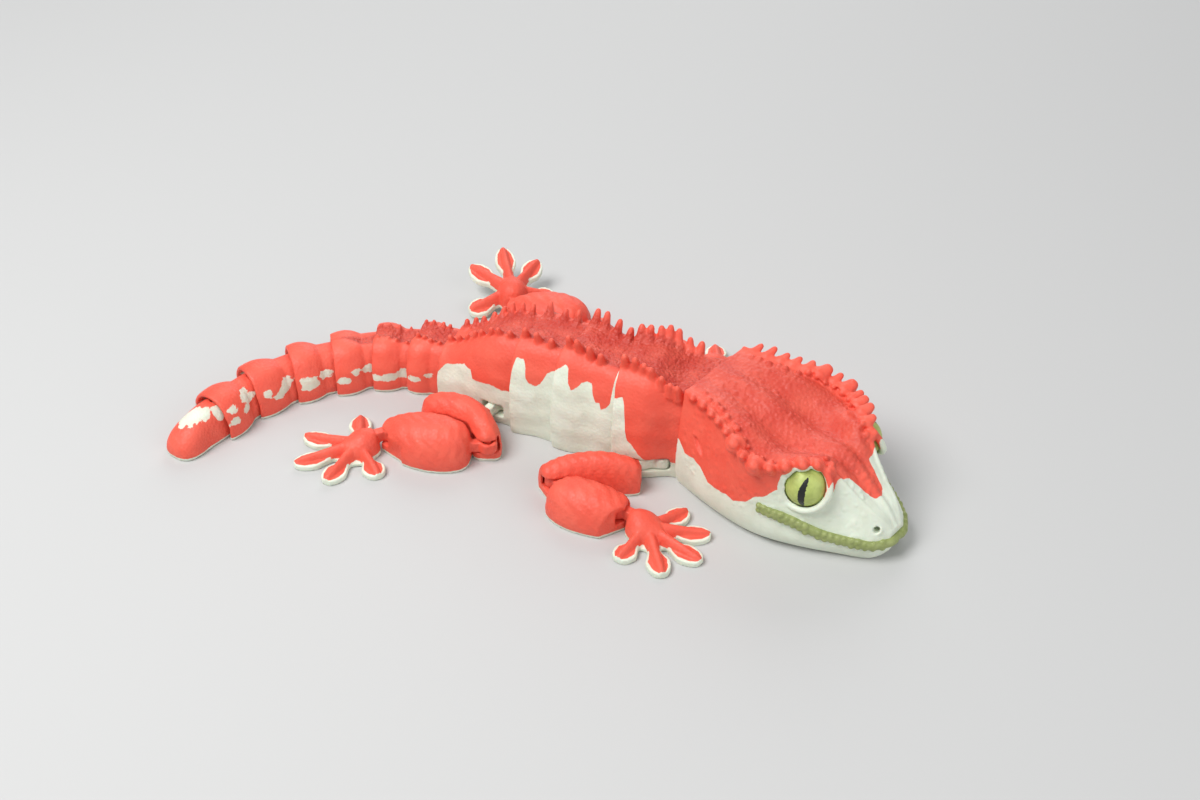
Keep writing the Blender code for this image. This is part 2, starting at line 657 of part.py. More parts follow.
def foot(name, pin, heading, toes, mirror, tilt=0.0):
    """Palm with five toes, its toes tilted up from the heel, and its eye."""
    rise, run = math.sin(math.radians(tilt)), math.cos(math.radians(tilt))

    def lift(p):
        ahead = p[0] - HEEL
        return (HEEL + ahead * run, p[1], p[2] + ahead * rise)

    palm = Vector((PALM_AHEAD, 0.0))
    rings = [[lift((x, y, z)) for y, z in arch(half, top, points=7, power=2.2)] for x, half, top in PALM]
    made = loft(name, rings, pin, heading)
    pieces = []
    for angle, length in toes:
        pad, ridge = toe(palm, angle * mirror, length, lift)
        pieces.append(loft("pad", pad, pin, heading))
        pieces.append(loft("ridge", ridge, pin, heading))
    combine(made, pieces, "UNION")
    return made


def leg(side, root, names, places, paths, sizes, swings, toes, tilt):
    """One leg of three pieces on its root piece, from the body out."""
    mirror = 1 if side == "right" else -1
    hip, knee, ankle, heading = places
    turns = [tuple(sorted((mirror * low, mirror * high))) for low, high in swings]
    upper = limb(names[0] + side, paths[0], sizes[0], hip)
    lower = limb(names[1] + side, paths[1], sizes[1], knee)
    end = foot(names[2] + side, ankle, heading, toes, mirror, tilt)
    make_room(upper, paths[1], sizes[1], knee, turns[1])
    make_foot_room(lower, ankle, heading, turns[2])
    for parent, child, pin, target, turn in (
            (root, upper, hip, paths[0][TONGUE_TO[names[0]]], turns[0]),
            (upper, lower, knee, paths[1][1], turns[1]),
            (lower, end, ankle, ankle + TOE_ROOT * unit(heading), turns[2])):
        toward = angle_to(pin, target)
        add_tongue(child, pin, toward, (target - pin).length)
        add_socket(parent, pin, toward, turn)
    return {node.name: node for node in (upper, lower, end)}


def legs(pieces, nodes):
    """Both front and both hind legs, on the chest and the pelvis."""
    made = {}
    chest, pelvis = pieces[0], pieces[3]
    for side, mirror in (("right", 1), ("left", -1)):
        def beside(piece, place):
            back, out = place
            return piece["pin"] - back * unit(piece["heading"]) - mirror * out * unit(piece["heading"] + 90)

        places = [beside(chest, ARM[key]) for key in ("shoulder", "elbow", "wrist")]
        places.append(chest["heading"] + mirror * ARM["hand"])
        paths = [[beside(chest, p) for p in ARM[key]] for key in ("upper", "lower")]
        made.update(leg(side, nodes["chest"], ("arm_upper_", "arm_lower_", "hand_"), places, paths,
                        (UPPER_ARM, LOWER_ARM), ARM_SWINGS, HAND_TOES, 0.0))
        pose = LEG[side]
        places = [beside(pelvis, pose["hip"]), Vector(pose["knee"]), Vector(pose["ankle"]), pose["foot"]]
        paths = [[Vector(p) for p in pose[key]] for key in ("upper", "lower")]
        made.update(leg(side, nodes["pelvis"], ("thigh_", "shin_", "foot_"), places, paths,
                        (UPPER_LEG, LOWER_LEG), LEG_SWINGS, FOOT_TOES, pose["tilt"]))
    return made


def centre(nodes):
    """Set the figure on the middle of its footprint."""
    bpy.context.view_layer.update()
    points = [node.matrix_world @ v.co for node in nodes for v in node.data.vertices]
    for axis in (0, 1):
        places = [p[axis] for p in points]
        middle = (min(places) + max(places)) / 2
        for node in nodes:
            node.location[axis] -= middle


def build():
    for old in list(bpy.data.objects):
        bpy.data.objects.remove(old)
    rng = random.Random(SEED)
    pieces, tip_pin, tip_half, tip_top = body_pieces()
    noses = [(p["nose"], p["nose_top"], p["nose_row"], p["swing"]) for p in pieces]
    noses.append((tip_half - WALL - CUP_GAP, tip_top - WALL - ROOF_GAP, 0.0, TIP_SWING))
    nodes = {"head": head(Vector(NECK_PIN), noses[0])}
    for piece, follower in zip(pieces, noses[1:]):
        nodes[piece["name"]] = body_piece(piece, follower, rng)
    nodes["tail_tip"] = tail_tip(tip_pin, noses[-1][0], noses[-1][1])
    nodes.update(legs(pieces, nodes))
    made = [finish(node, name) for name, node in nodes.items()]
    for side, mirror in (("right", -1), ("left", 1)):
        x, y, z = EYE_PLACE
        eye = ball("eye_" + side, (x, mirror * y, z), EYE_BALL, NECK_PIN, HEAD_HEADING)
        made.append(finish(eye, "eye_" + side, "green_plastic", GREEN))
    centre(made)


build()
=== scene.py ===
"""Looks of the jointed gecko figure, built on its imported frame.

Each solid is made again from the same sizes, in fine even meshes, with
rounded edges and two colours of plastic. Lengths are in millimetres until a
mesh is placed, and each piece is drawn in its own frame: its origin on its
front pin, x forward, y to its left.
"""

import json
import math
import random

import bmesh
import bpy
import numpy as np
from mathutils import Matrix, Vector


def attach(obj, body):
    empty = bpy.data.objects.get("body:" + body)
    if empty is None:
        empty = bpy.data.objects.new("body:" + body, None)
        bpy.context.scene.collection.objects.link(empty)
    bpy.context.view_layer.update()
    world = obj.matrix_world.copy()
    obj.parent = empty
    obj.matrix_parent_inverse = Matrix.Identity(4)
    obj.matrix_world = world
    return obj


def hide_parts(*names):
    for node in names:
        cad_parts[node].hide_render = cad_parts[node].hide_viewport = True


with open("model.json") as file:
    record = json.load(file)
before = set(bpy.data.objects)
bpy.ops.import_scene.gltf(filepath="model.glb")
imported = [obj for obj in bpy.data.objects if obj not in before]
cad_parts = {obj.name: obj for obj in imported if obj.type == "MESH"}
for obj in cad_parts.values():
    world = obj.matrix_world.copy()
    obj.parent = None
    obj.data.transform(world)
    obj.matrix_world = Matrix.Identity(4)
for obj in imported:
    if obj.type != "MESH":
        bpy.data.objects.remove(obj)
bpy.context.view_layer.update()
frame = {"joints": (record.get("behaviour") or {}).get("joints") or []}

MM = 0.001
SEED = 7

# Joints: pin, eye and the room between them
PIN_R = 1.3
EYE_HOLE_R = 1.85
EYE_R = 3.2
SLOT_R = 4.0
SLOT_Z = (3.2, 8.0)
TONGUE_Z = (3.7, 7.5)
TONGUE_HALF = 1.5
TONGUE_GAP = 0.6
PIN_ROOT = 0.8
STRAP_TOP = 1.2
STRAP_HALF = 1.8
NOSE_LIFT = 1.7
NOSE_STEP_R = 3.2

# Nose in cup
RIM = 2.4
WALL = 1.3
CUP_GAP = 1.35
ROOF_GAP = 0.9
NOSE_SHAPE = 0.55
FRONT_GAP = 0.7
RIM_GAP = 0.3
RIM_CLEAR = 1.0
NOSE_TURNS = (84.0, 76.0, 66.0, 56.0, 46.0, 36.0, 27.0, 18.0, 9.0, 0.0)
CUP_TURNS = (84.0, 76.0, 68.0, 58.0, 48.0, 36.0, 24.0, 12.0, 0.0)
CUP_POWER = 3.0
CUP_LOW = 0.75
RAMP = 11.0
BARREL_POWER = 2.5
BARREL = 0.7

# Body pieces from the chest back: name, length from pin to pin, heading,
# swing, half width and height at the rear rim, half spacing of the spine
# rows, spines in a row, their length and their root radius
NECK_PIN = (38.4, -31.0)
HEAD_HEADING = -40.5
HEAD_RIM = (17.4, 34.8)
CHEST_ROW = 11.6
BODY = [
    ("chest", 28.4, -18.0, 25.0, 18.6, 37.0, 7.8, 7, 6.2, 1.7),
    ("torso_front", 19.3, -32.0, 16.0, 18.3, 36.5, 7.8, 4, 6.0, 1.6),
    ("torso_rear", 17.2, -28.0, 16.0, 17.6, 34.5, 7.2, 3, 5.0, 1.5),
    ("pelvis", 31.0, -27.0, 16.0, 13.4, 20.5, 4.6, 8, 4.2, 1.3),
    ("tail_1", 13.6, -19.0, 20.0, 12.0, 18.3, 3.8, 4, 3.0, 1.0),
    ("tail_2", 14.8, -4.0, 20.0, 11.4, 17.4, 3.0, 4, 1.8, 0.8),
    ("tail_3", 15.3, 12.0, 20.0, 10.9, 16.8, 0.0, 0, 0.0, 0.0),
    ("tail_4", 15.0, 20.0, 20.0, 10.3, 16.0, 0.0, 0, 0.0, 0.0),
    ("tail_5", 16.6, 35.0, 20.0, 9.5, 15.2, 0.0, 0, 0.0, 0.0),
    ("tail_6", 16.3, 51.0, 20.0, 9.2, 14.4, 0.0, 0, 0.0, 0.0),
]
TIP_HEADING = 53.0
TIP_SWING = 20.0
DIP = 1.3
DIP_ROW = 4.0
SPINE_LEAN = 20.0
SPINE_SINK = 1.6
ARCH_POINTS = 61
ARCH_POWER = 2.5
FLAT = 0.88
TUCK = 0.06
STEP = 0.9

# Fineness of the even meshes
COARSER = 1.0
BODY_VOXEL = 0.42 * COARSER
FINE_VOXEL = 0.34 * COARSER
GREEN_VOXEL = 0.3 * COARSER

NECK_PLACE = next(joint["pos_m"] for joint in frame["joints"] if joint["name"] == "neck")
SHIFT = Vector((NECK_PLACE[0] / MM - NECK_PIN[0], NECK_PLACE[1] / MM - NECK_PIN[1], 0.0))


# Camera, floor and light

CAMERA_TILT = math.radians(38.0)
CAMERA_FAR = 575.0
LENS = 50.0
SENSOR = 36.0

# Area lights: name, place and size in metres, and power in watts
LIGHTS = [
    ("key", (-0.45, -0.25, 0.85), 0.55, 9.0),
    ("fill", (0.8, -0.7, 0.5), 0.9, 3.5),
    ("rim", (0.1, 0.9, 0.6), 0.7, 4.0),
]
SKY = (0.93, 0.95, 1.0, 1.0)
SKY_STRENGTH = 0.35
FLOOR_HALF = 6.0
FLOOR_DROP = 0.0001
FLOOR_TONE = (0.56, 0.56, 0.55, 1.0)
FLOOR_ROUGH = 0.85


def placed(name, data):
    """New object of some data, in the scene."""
    made = bpy.data.objects.new(name, data)
    bpy.context.scene.collection.objects.link(made)
    return made


def aim(obj, target):
    """Turn a lamp toward a point."""
    obj.rotation_euler = (Vector(target) - obj.location).to_track_quat("-Z", "Y").to_euler()


def make_camera():
    data = bpy.data.cameras.new("camera")
    data.lens = LENS
    data.sensor_width = SENSOR
    made = placed("camera", data)
    made.location = (SHIFT + CAMERA_FAR * Vector((0, -math.cos(CAMERA_TILT), math.sin(CAMERA_TILT)))) * MM
    made.rotation_euler = (math.pi / 2 - CAMERA_TILT, 0.0, 0.0)
    bpy.context.scene.camera = made


def area_light(name, place, size, power):
    data = bpy.data.lights.new(name, "AREA")
    data.size = size
    data.energy = power
    made = placed(name, data)
    made.location = place
    aim(made, (0.0, 0.0, 0.0))


def make_studio():
    """Pale floor, three area lights and an even sky."""
    for light in LIGHTS:
        area_light(*light)
    world = bpy.data.worlds.new("sky")
    world.use_nodes = True
    sky = world.node_tree.nodes["Background"]
    sky.inputs["Color"].default_value = SKY
    sky.inputs["Strength"].default_value = SKY_STRENGTH
    bpy.context.scene.world = world
    bpy.context.scene.view_settings.view_transform = "Standard"
    mesh = bpy.data.meshes.new("floor")
    far = FLOOR_HALF
    mesh.from_pydata([(-far, -far, 0), (far, -far, 0), (far, far, 0), (-far, far, 0)], [], [(0, 1, 2, 3)])
    floor = placed("floor", mesh)
    floor.location = (0.0, 0.0, -FLOOR_DROP)
    paint = bpy.data.materials.new("floor")
    paint.use_nodes = True
    shader = paint.node_tree.nodes["Principled BSDF"]
    shader.inputs["Base Color"].default_value = FLOOR_TONE
    shader.inputs["Roughness"].default_value = FLOOR_ROUGH
    mesh.materials.append(paint)


# Numbers and curves

def unit(angle):
    """Plan direction of an angle."""
    return Vector((math.cos(math.radians(angle)), math.sin(math.radians(angle))))


def smooth(t):
    """0 to 1 with level ends."""
    t = min(max(t, 0.0), 1.0)
    return t * t * (3 - 2 * t)


def along(table, x):
    """Value at x of a table of places and values, on a smooth line."""
    if x <= table[0][0]:
        return table[0][1]
    for i in range(len(table) - 1):
        (x0, y0), (x1, y1) = table[i], table[i + 1]
        if x > x1:
            continue
        xa, ya = table[max(i - 1, 0)]
        xb, yb = table[min(i + 2, len(table) - 1)]
        start = (y1 - ya) / (x1 - xa) * (x1 - x0)
        end = (yb - y0) / (xb - x0) * (x1 - x0)
        t = (x - x0) / (x1 - x0)
        return (y0 * (1 - t) ** 2 * (1 + 2 * t) + y1 * t * t * (3 - 2 * t)
                + start * t * (1 - t) ** 2 - end * t * t * (1 - t))
    return table[-1][1]


def straight(table, x):
    """Values at x of a table of places and values, on straight lines."""
    return np.interp(x, *zip(*table))


def curve_point(points, t):
    """Point of the smooth curve through all points, t from 0 to 1."""
    span = t * (len(points) - 1)
    i = min(int(span), len(points) - 2)
    a = points[max(i - 1, 0)]
    b, c = points[i], points[i + 1]
    d = points[min(i + 2, len(points) - 1)]
    f = span - i
    return (b * 2 + (c - a) * f + (a * 2 - b * 5 + c * 4 - d) * f * f
            + (b * 3 - a - c * 3 + d) * f * f * f) / 2


def finer(points, steps):
    """The smooth curve through points, with steps between each two."""
    points = [Vector(p) for p in points]
    count = (len(points) - 1) * steps
    return [curve_point(points, i / count) for i in range(count + 1)]


# Meshes

def solid(name, points, faces, pin=(0.0, 0.0), heading=0.0):
    """Object of a closed mesh, its origin on a pin."""
    mesh = bpy.data.meshes.new(name)
    mesh.from_pydata([Vector(p) for p in points], [], faces)
    work = bmesh.new()
    work.from_mesh(mesh)
    bmesh.ops.recalc_face_normals(work, faces=work.faces)
    work.to_mesh(mesh)
    work.free()
    made = placed(name, mesh)
    made.location = (pin[0], pin[1], 0.0)
    made.rotation_euler = (0.0, 0.0, math.radians(heading))
    return made


def loft(name, rings, pin=(0.0, 0.0), heading=0.0):
    """Closed solid through rings of as many points each."""
    count = len(rings[0])
    points = [p for ring in rings for p in ring]
    faces = [tuple(range(count))[::-1]]
    for i in range(len(rings) - 1):
        a, b = i * count, (i + 1) * count
        for k in range(count):
            n = (k + 1) % count
            faces.append((a + k, a + n, b + n, b + k))
    faces.append(tuple(range((len(rings) - 1) * count, len(rings) * count)))
    return solid(name, points, faces, pin, heading)


def prism(name, outline, low, high, pin=(0.0, 0.0), heading=0.0):
    """Upright solid over an outline in plan."""
    return loft(name, [[(x, y, z) for x, y in outline] for z in (low, high)], pin, heading)


def disc(radius, sides, centre=(0.0, 0.0)):
    """Outline of a round piece."""
    return [tuple(Vector(centre) + radius * unit(360.0 * i / sides)) for i in range(sides)]


def applied(target):
    """Mesh of an object with its modifiers."""
    bpy.context.view_layer.update()
    state = bpy.context.evaluated_depsgraph_get()
    mesh = bpy.data.meshes.new_from_object(target.evaluated_get(state))
    target.modifiers.clear()
    target.data = mesh
    return mesh


def combine(target, pieces, operation):
    """Apply one Boolean of a collection of closed pieces, and remove them."""
    if not pieces:
        return
    group = bpy.data.collections.new("pieces")
    for piece in pieces:
        group.objects.link(piece)
    modifier = target.modifiers.new("combine", "BOOLEAN")
    modifier.operation = operation
    modifier.operand_type = "COLLECTION"
    modifier.collection = group
    modifier.solver = "MANIFOLD"
    applied(target)
    for piece in pieces:
        bpy.data.objects.remove(piece)
    bpy.data.collections.remove(group)


def even(target, voxel, rounds):
    """Even mesh of a closed form, its edges a little rounded."""
    modifier = target.modifiers.new("even", "REMESH")
    modifier.mode = "VOXEL"
    modifier.voxel_size = voxel
    soften = target.modifiers.new("soften", "SMOOTH")
    soften.factor = 0.5
    soften.iterations = rounds
    return applied(target)


def vectors(items, key):
    """Array of one vector of each item, a row each."""
    found = np.empty(len(items) * 3)
    items.foreach_get(key, found)
    return found.reshape(-1, 3)


def studs(places, normals, centres, radius, height):
    """Raise round low bumps on a surface."""
    for centre, size in centres:
        reach = radius * size
        away = ((places - centre) ** 2).sum(axis=1)
        near = away < reach * reach
        lift = (1 - away[near] / (reach * reach)) ** 1.5
        places[near] += normals[near] * (height * size * lift)[:, None]


def set_values(mesh, name, values, kind="FLOAT"):
    field = mesh.attributes.new(name, kind, "POINT")
    key = "vector" if kind == "FLOAT_VECTOR" else "value"
    field.data.foreach_set(key, np.asarray(values, float).ravel())


def dress(target, name, cream, back, body, paint, voxel=BODY_VOXEL, rounds=2,
          node=None, relief=None):
    """Even out, mark and place one piece, and let it ride on its body."""
    mesh = even(target, voxel, rounds)
    places = vectors(mesh.vertices, "co")
    if relief:
        relief(places, vectors(mesh.vertex_normals, "vector"))
    places[:, 2] = np.maximum(places[:, 2], 0.0)
    set_values(mesh, "cream", cream(places))
    set_values(mesh, "back", back(places))
    set_values(mesh, "place", places * MM, "FLOAT_VECTOR")
    turn = np.array(target.matrix_world.to_3x3())
    origin = np.array(target.matrix_world.translation + SHIFT)
    mesh.vertices.foreach_set("co", ((places @ turn.T + origin) * MM).ravel())
    mesh.update()
    mesh.shade_smooth()
    target.matrix_world = Matrix.Identity(4)
    target.name = name
    mesh.name = name
    mesh.materials.clear()
    mesh.materials.append(paint)
    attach(target, body)
    if node:
        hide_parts(node)
    return target


# Paint

class Paint:
    """One node material, built a step at a time."""

    def __init__(self, name):
        self.made = bpy.data.materials.new(name)
        self.made.use_nodes = True
        self.tree = self.made.node_tree
        self.shader = self.tree.nodes["Principled BSDF"]

    def node(self, kind, **settings):
        made = self.tree.nodes.new(kind)
        for key, value in settings.items():
            setattr(made, key, value)
        return made

    def link(self, source, target):
        self.tree.links.new(source, target)

    def feed(self, socket, value):
        if isinstance(value, bpy.types.NodeSocket):
            self.link(value, socket)
        else:
            socket.default_value = value

    def put(self, made, values):
        """Feed a node's sockets by name."""
        for key, value in values.items():
            self.feed(made.inputs[key], value)
        return made

    def field(self, name):
        """A value kept on each point of the mesh."""
        return self.node("ShaderNodeAttribute", attribute_name=name)

    def math(self, operation, a, b=0.0, c=0.0):
        made = self.node("ShaderNodeMath", operation=operation)
        for socket, value in zip(made.inputs, (a, b, c)):
            self.feed(socket, value)
        return made.outputs[0]

    def noise(self, place, scale, detail=2.0, rough=0.5):
        values = {"Vector": place, "Scale": scale, "Detail": detail, "Roughness": rough}
        return self.put(self.node("ShaderNodeTexNoise"), values).outputs["Fac"]

    def pebbles(self, place, scale):
        made = self.node("ShaderNodeTexVoronoi", feature="SMOOTH_F1")
        return self.put(made, {"Vector": place, "Scale": scale, "Smoothness": 0.4}).outputs["Distance"]

    def ranged(self, value, low, high, start=0.0, end=1.0):
        values = {"Value": value, "From Min": low, "From Max": high, "To Min": start, "To Max": end}
        return self.put(self.node("ShaderNodeMapRange"), values).outputs[0]

    def mix(self, share, a, b):
        made = self.node("ShaderNodeMix", data_type="RGBA")
        self.feed(made.inputs[0], share)
        self.feed(made.inputs[6], a)
        self.feed(made.inputs[7], b)
        return made.outputs[2]

    def bump(self, height, distance, strength, below=None):
        values = {"Distance": distance, "Strength": strength, "Height": height}
        made = self.put(self.node("ShaderNodeBump"), values)
        if below:
            self.link(below, made.inputs["Normal"])
        return made.outputs["Normal"]


LAYER = 0.0002
RED_SIDE = (0.86, 0.105, 0.062, 1.0)
# The next red is painted shade, for the hollow between the spine rows and the furrows of the head
RED_SHADED_BACK = (0.56, 0.05, 0.03, 1.0)
RED_WORN = (0.95, 0.19, 0.12, 1.0)
CREAM = (0.80, 0.86, 0.72, 1.0)
CREAM_LOW = (0.72, 0.77, 0.63, 1.0)
CREAM_EDGE = (0.75, 0.30, 0.18, 1.0)
BLACK = (0.008, 0.008, 0.008, 1.0)
EYE_GREENS = ((0.50, 0.58, 0.16, 1.0), (0.40, 0.48, 0.12, 1.0))
LIP_GREENS = ((0.34, 0.39, 0.14, 1.0), (0.25, 0.30, 0.09, 1.0))


def layered(paint, place, strength):
    """Bump of the thin level layers of a print."""
    split = paint.node("ShaderNodeSeparateXYZ")
    paint.link(place, split.inputs[0])
    wobble = paint.math("MULTIPLY", paint.noise(place, 120.0), 0.00012)
    height = paint.math("ADD", split.outputs["Z"], wobble)
    wave = paint.math("PINGPONG", height, LAYER / 2)
    return paint.bump(wave, 0.35, strength)


def coat_paint(name, pebble_scale, pebble_depth):
    """Red plastic over cream, split along the cream field, the red darkened by painted shade along the back
    field.
    """
    paint = Paint(name)
    place = paint.field("place").outputs["Vector"]
    back = paint.field("back").outputs["Fac"]
    cream = paint.field("cream").outputs["Fac"]
    ragged = paint.math("MULTIPLY_ADD", paint.noise(place, 900.0, 3.0), 1.5, -0.75)
    wander = paint.math("MULTIPLY_ADD", paint.noise(place, 210.0, 2.0), 2.6, -1.3)
    edge = paint.math("ADD", cream, paint.math("ADD", ragged, wander))
    share = paint.ranged(edge, -0.08, 0.08)
    tone = paint.noise(place, 140.0, 3.0)
    # Painted shade: the red darkens along the back field, in the hollows of the back and the head
    red = paint.mix(back, RED_SIDE, RED_SHADED_BACK)
    red = paint.mix(paint.ranged(tone, 0.35, 0.7, 0.0, 0.35), red, RED_WORN)
    pale = paint.mix(paint.ranged(tone, 0.35, 0.65), CREAM, CREAM_LOW)
    pale = paint.mix(paint.ranged(edge, 0.1, 1.2, 0.18, 0.0), pale, CREAM_EDGE)
    scales = paint.pebbles(place, pebble_scale)
    depth = paint.math("MULTIPLY_ADD", back, 0.75, 0.25)
    grain = paint.bump(paint.math("MULTIPLY", scales, depth), pebble_depth, 0.8, layered(paint, place, 0.5))
    fine = paint.bump(paint.noise(place, 4200.0, 2.0, 0.7), 0.00012, 0.35, grain)
    rough = paint.ranged(paint.noise(place, 1500.0, 2.0), 0.3, 0.7, 0.38, 0.6)
    paint.put(paint.shader, {
        "Base Color": paint.mix(share, red, pale), "Normal": fine, "Roughness": rough,
        "Specular IOR Level": 0.45, "Subsurface Weight": 0.08,
        "Subsurface Radius": (1.0, 0.35, 0.2), "Subsurface Scale": 0.0015})
    return paint.made


def green_paint(name, light, dark, slit):
    """Green plastic, with black inside the field of the pupil."""
    paint = Paint(name)
    place = paint.field("place").outputs["Vector"]
    tone = paint.noise(place, 520.0, 3.0)
    green = paint.mix(paint.ranged(tone, 0.35, 0.68), light, dark)
    if slit:
        edge = paint.math("ADD", paint.field("cream").outputs["Fac"],
                          paint.math("MULTIPLY_ADD", paint.noise(place, 1400.0, 2.0), 0.7, -0.35))
        green = paint.mix(paint.ranged(edge, -0.06, 0.06), green, BLACK)
    bump = paint.bump(paint.noise(place, 2600.0, 2.0), 0.0002, 0.5, layered(paint, place, 0.4))
    paint.put(paint.shader, {"Base Color": green, "Normal": bump, "Roughness": 0.4})
    return paint.made


# Body pieces

def arch(half, top, row=0.0, points=ARCH_POINTS, power=ARCH_POWER, floor=0.0, tuck=TUCK):
    """Arched section (y, z) from the near side over the back to the far side."""
    ring, flat = [], FLAT * row
    for i in range(points):
        turn = math.pi * i / (points - 1)
        side = -math.cos(turn) if 2 * i != points - 1 else 0.0
        y = math.copysign(flat * (side != 0) + (half - flat) * abs(side) ** (2 / power), side)
        z = top * max(math.sin(turn), 0.0) ** (2 / power)
        if abs(y) < row:
            z -= dip_of(row) * (1 - (y / row) ** 2)
        low = max(1 - z / (0.3 * top), 0.0)
        y *= 1 - tuck * low * low
        ring.append((y, max(z, floor)))
    ring[0] = (ring[0][0], floor)
    ring[-1] = (ring[-1][0], floor)
    return ring


def dip_of(row):
    """Depth of the hollow between rows of spines, less where they close up."""
    return DIP * min(row / DIP_ROW, 1.0) ** 2


def row_height(half, top, row):
    """Height of an arched section at a row of spines."""
    out = (row - FLAT * row) / (half - FLAT * row)
    return top * (1 - out ** ARCH_POWER) ** (1 / ARCH_POWER)


def body_pieces():
    """Named sizes of each body piece, with the cup in front of it."""
    made = []
    pin, front_half, front_top, front_row = Vector(NECK_PIN), *HEAD_RIM, CHEST_ROW
    for name, length, heading, swing, half, top, row, count, height, root in BODY:
        made.append(dict(
            name=name, pin=pin, heading=heading, length=length, swing=swing,
            half=half, top=top, row=row,
            nose=front_half - WALL - CUP_GAP, nose_top=front_top - WALL - ROOF_GAP,
            nose_row=front_row, count=count, height=height, root=root))
        pin = pin - length * unit(heading)
        front_half, front_top, front_row = half, top, row
    return made, pin, front_half, front_top


def swing_start(nose, swing):
    """How far behind its pin a nose stays straight, to turn in its cup."""
    return RIM + (nose + CUP_GAP + WALL) * math.sin(math.radians(swing)) + RIM_CLEAR


def profile(piece, x):
    """Half width, height and row spacing of a body piece, x behind its pin."""
    start = swing_start(piece["nose"], piece["swing"])
    end = piece["length"] + RIM
    full = (x - start) / (end - start)
    rise = (x - start) / min(end - start, RAMP)
    t = smooth(rise if piece["top"] > piece["nose_top"] else full)
    swell = 0.0
    if piece["name"].startswith("tail"):
        share = min(max(full, 0.0), 1.0)
        t = 1 - (1 - share) ** BARREL_POWER
        swell = BARREL * 4 * share * (1 - share)
    half = piece["nose"] + (piece["half"] - piece["nose"]) * t + swell
    top = piece["nose_top"] + (piece["top"] - piece["nose_top"]) * t + swell
    row = piece["nose_row"] + (piece["row"] - piece["nose_row"]) * smooth(full)
    return half, top, row


def nose_rings(half, top, row, reach, low=0.8, floor=0.0, turns=NOSE_TURNS, power=2.0):
    """Rings of a rounded nose from its tip to its pin."""
    rings = []
    for turn in turns:
        side = math.cos(math.radians(turn)) ** (2 / power)
        x = reach * math.sin(math.radians(turn)) ** (2 / power)
        height = top * (low + (1 - low) * side)
        rings.append([(x, y, z) for y, z in arch(half * side, height, row * side, floor=floor)])
    return rings


def cup_tools(pin, heading, back, follower):
    """Cutter of a cup round the pin at back, and the strap and post in it."""
    nose, nose_top, row, swing = follower
    turn = math.radians(swing)
    reach = nose * math.hypot(NOSE_SHAPE * math.cos(turn), math.sin(turn)) + FRONT_GAP
    half, roof = max(nose + CUP_GAP, nose / math.cos(turn) + RIM_GAP), nose_top + ROOF_GAP
    rings = nose_rings(half, roof, row / math.cos(turn), reach, CUP_LOW, -1.0, CUP_TURNS, CUP_POWER)
    rim, rim_row = ((size + (RIM + 1.0) * math.sin(turn)) / math.cos(turn) for size in (nose, row))
    section = arch(max(rim + RIM_GAP, half), roof, rim_row if row else 0.0, floor=-1.0)
    rings.append([(-RIM - 1.0, y, z) for y, z in section])
    rings = [[(x - back, y, z) for x, y, z in ring] for ring in rings]
    cutter = loft("cup", rings, pin, heading)
    tail, tip = -back - PIN_R - 0.6, reach + 1.0 - back
    outline = [(tail, -STRAP_HALF), (tip, -STRAP_HALF), (tip, STRAP_HALF), (tail, STRAP_HALF)]
    bar = prism("strap", outline, 0.0, STRAP_TOP, pin, heading)
    top = roof - dip_of(row) + PIN_ROOT
    post = prism("post", disc(PIN_R, 24, (-back, 0.0)), 0.0, top, pin, heading)
    return cutter, bar, post


def nose_cutters(pin, heading, nose, nose_top):
    """Eye hole through a nose, and the step that clears the strap."""
    reach, wide = nose * NOSE_SHAPE + 1.0, nose + 1.0
    bend = [tuple(NOSE_STEP_R * unit(a)) for a in range(90, 271, 12)]
    outline = [(reach, -wide), (reach, wide), (0.0, wide)] + bend + [(0.0, -wide)]
    step = prism("step", outline, -1.0, NOSE_LIFT, pin, heading)
    hole = prism("hole", disc(EYE_HOLE_R, 24), -2.0, nose_top + 2.0, pin, heading)
    return [step, hole]


# A spine: share of its length, and radius for its root's
SPINE_SHAPE = [(0.0, 1.3), (0.1, 1.1), (0.25, 0.95), (0.5, 0.8), (0.72, 0.7), (0.86, 0.58), (0.95, 0.4),
               (1.0, 0.15)]


def spine(foot, lean, height, root, pin, heading, sides=14, wide=1.0):
    """One blunt spine with a flared root, sunk into what it grows from."""
    turn = Vector((0, 0, 1)).rotation_difference(Vector(lean).normalized()).to_matrix()
    rings = []
    for share, size in [(-SPINE_SINK / height, 1.32)] + SPINE_SHAPE:
        ring = []
        for i in range(sides):
            a = 2 * math.pi * i / sides
            out = Vector((root * size * wide * math.cos(a), root * size * math.sin(a), share * height))
            ring.append(Vector(foot) + turn @ out)
        rings.append(ring)
    return loft("spine", rings, pin, heading)


def row_spines(piece, rng):
    """Both rows of spines along the back of a body piece."""
    made = []
    reach = piece["nose_row"] + piece["root"]
    first = RIM + reach * math.sin(math.radians(piece["swing"])) + 1.3 * piece["root"] + 0.4
    last = piece["length"] + RIM - 1.8
    for side in (-1, 1):
        for i in range(piece["count"]):
            x = first + (last - first) * (i + 0.15 * rng.uniform(-1, 1)) / max(piece["count"] - 1, 1)
            half, top, row = profile(piece, x)
            foot = (-x, side * row, row_height(half, top, row) - 0.3)
            lean = (rng.uniform(-0.1, 0.15), side * math.tan(math.radians(SPINE_LEAN)), 1.0)
            height = piece["height"] * rng.uniform(0.72, 1.05)
            made.append(spine(foot, lean, height, piece["root"], piece["pin"], piece["heading"]))
    return made


# How clean the cream's edge is, the pale band at the foot of each piece, and
# where the pale nose inside a cup begins
CLEAN = 5.0
FLANK_CLEAN = 2.2
FLECK_CLEAN = 0.8
BAND = 1.1
NOSE_PALE = 0.8
ALL_RED = -20.0
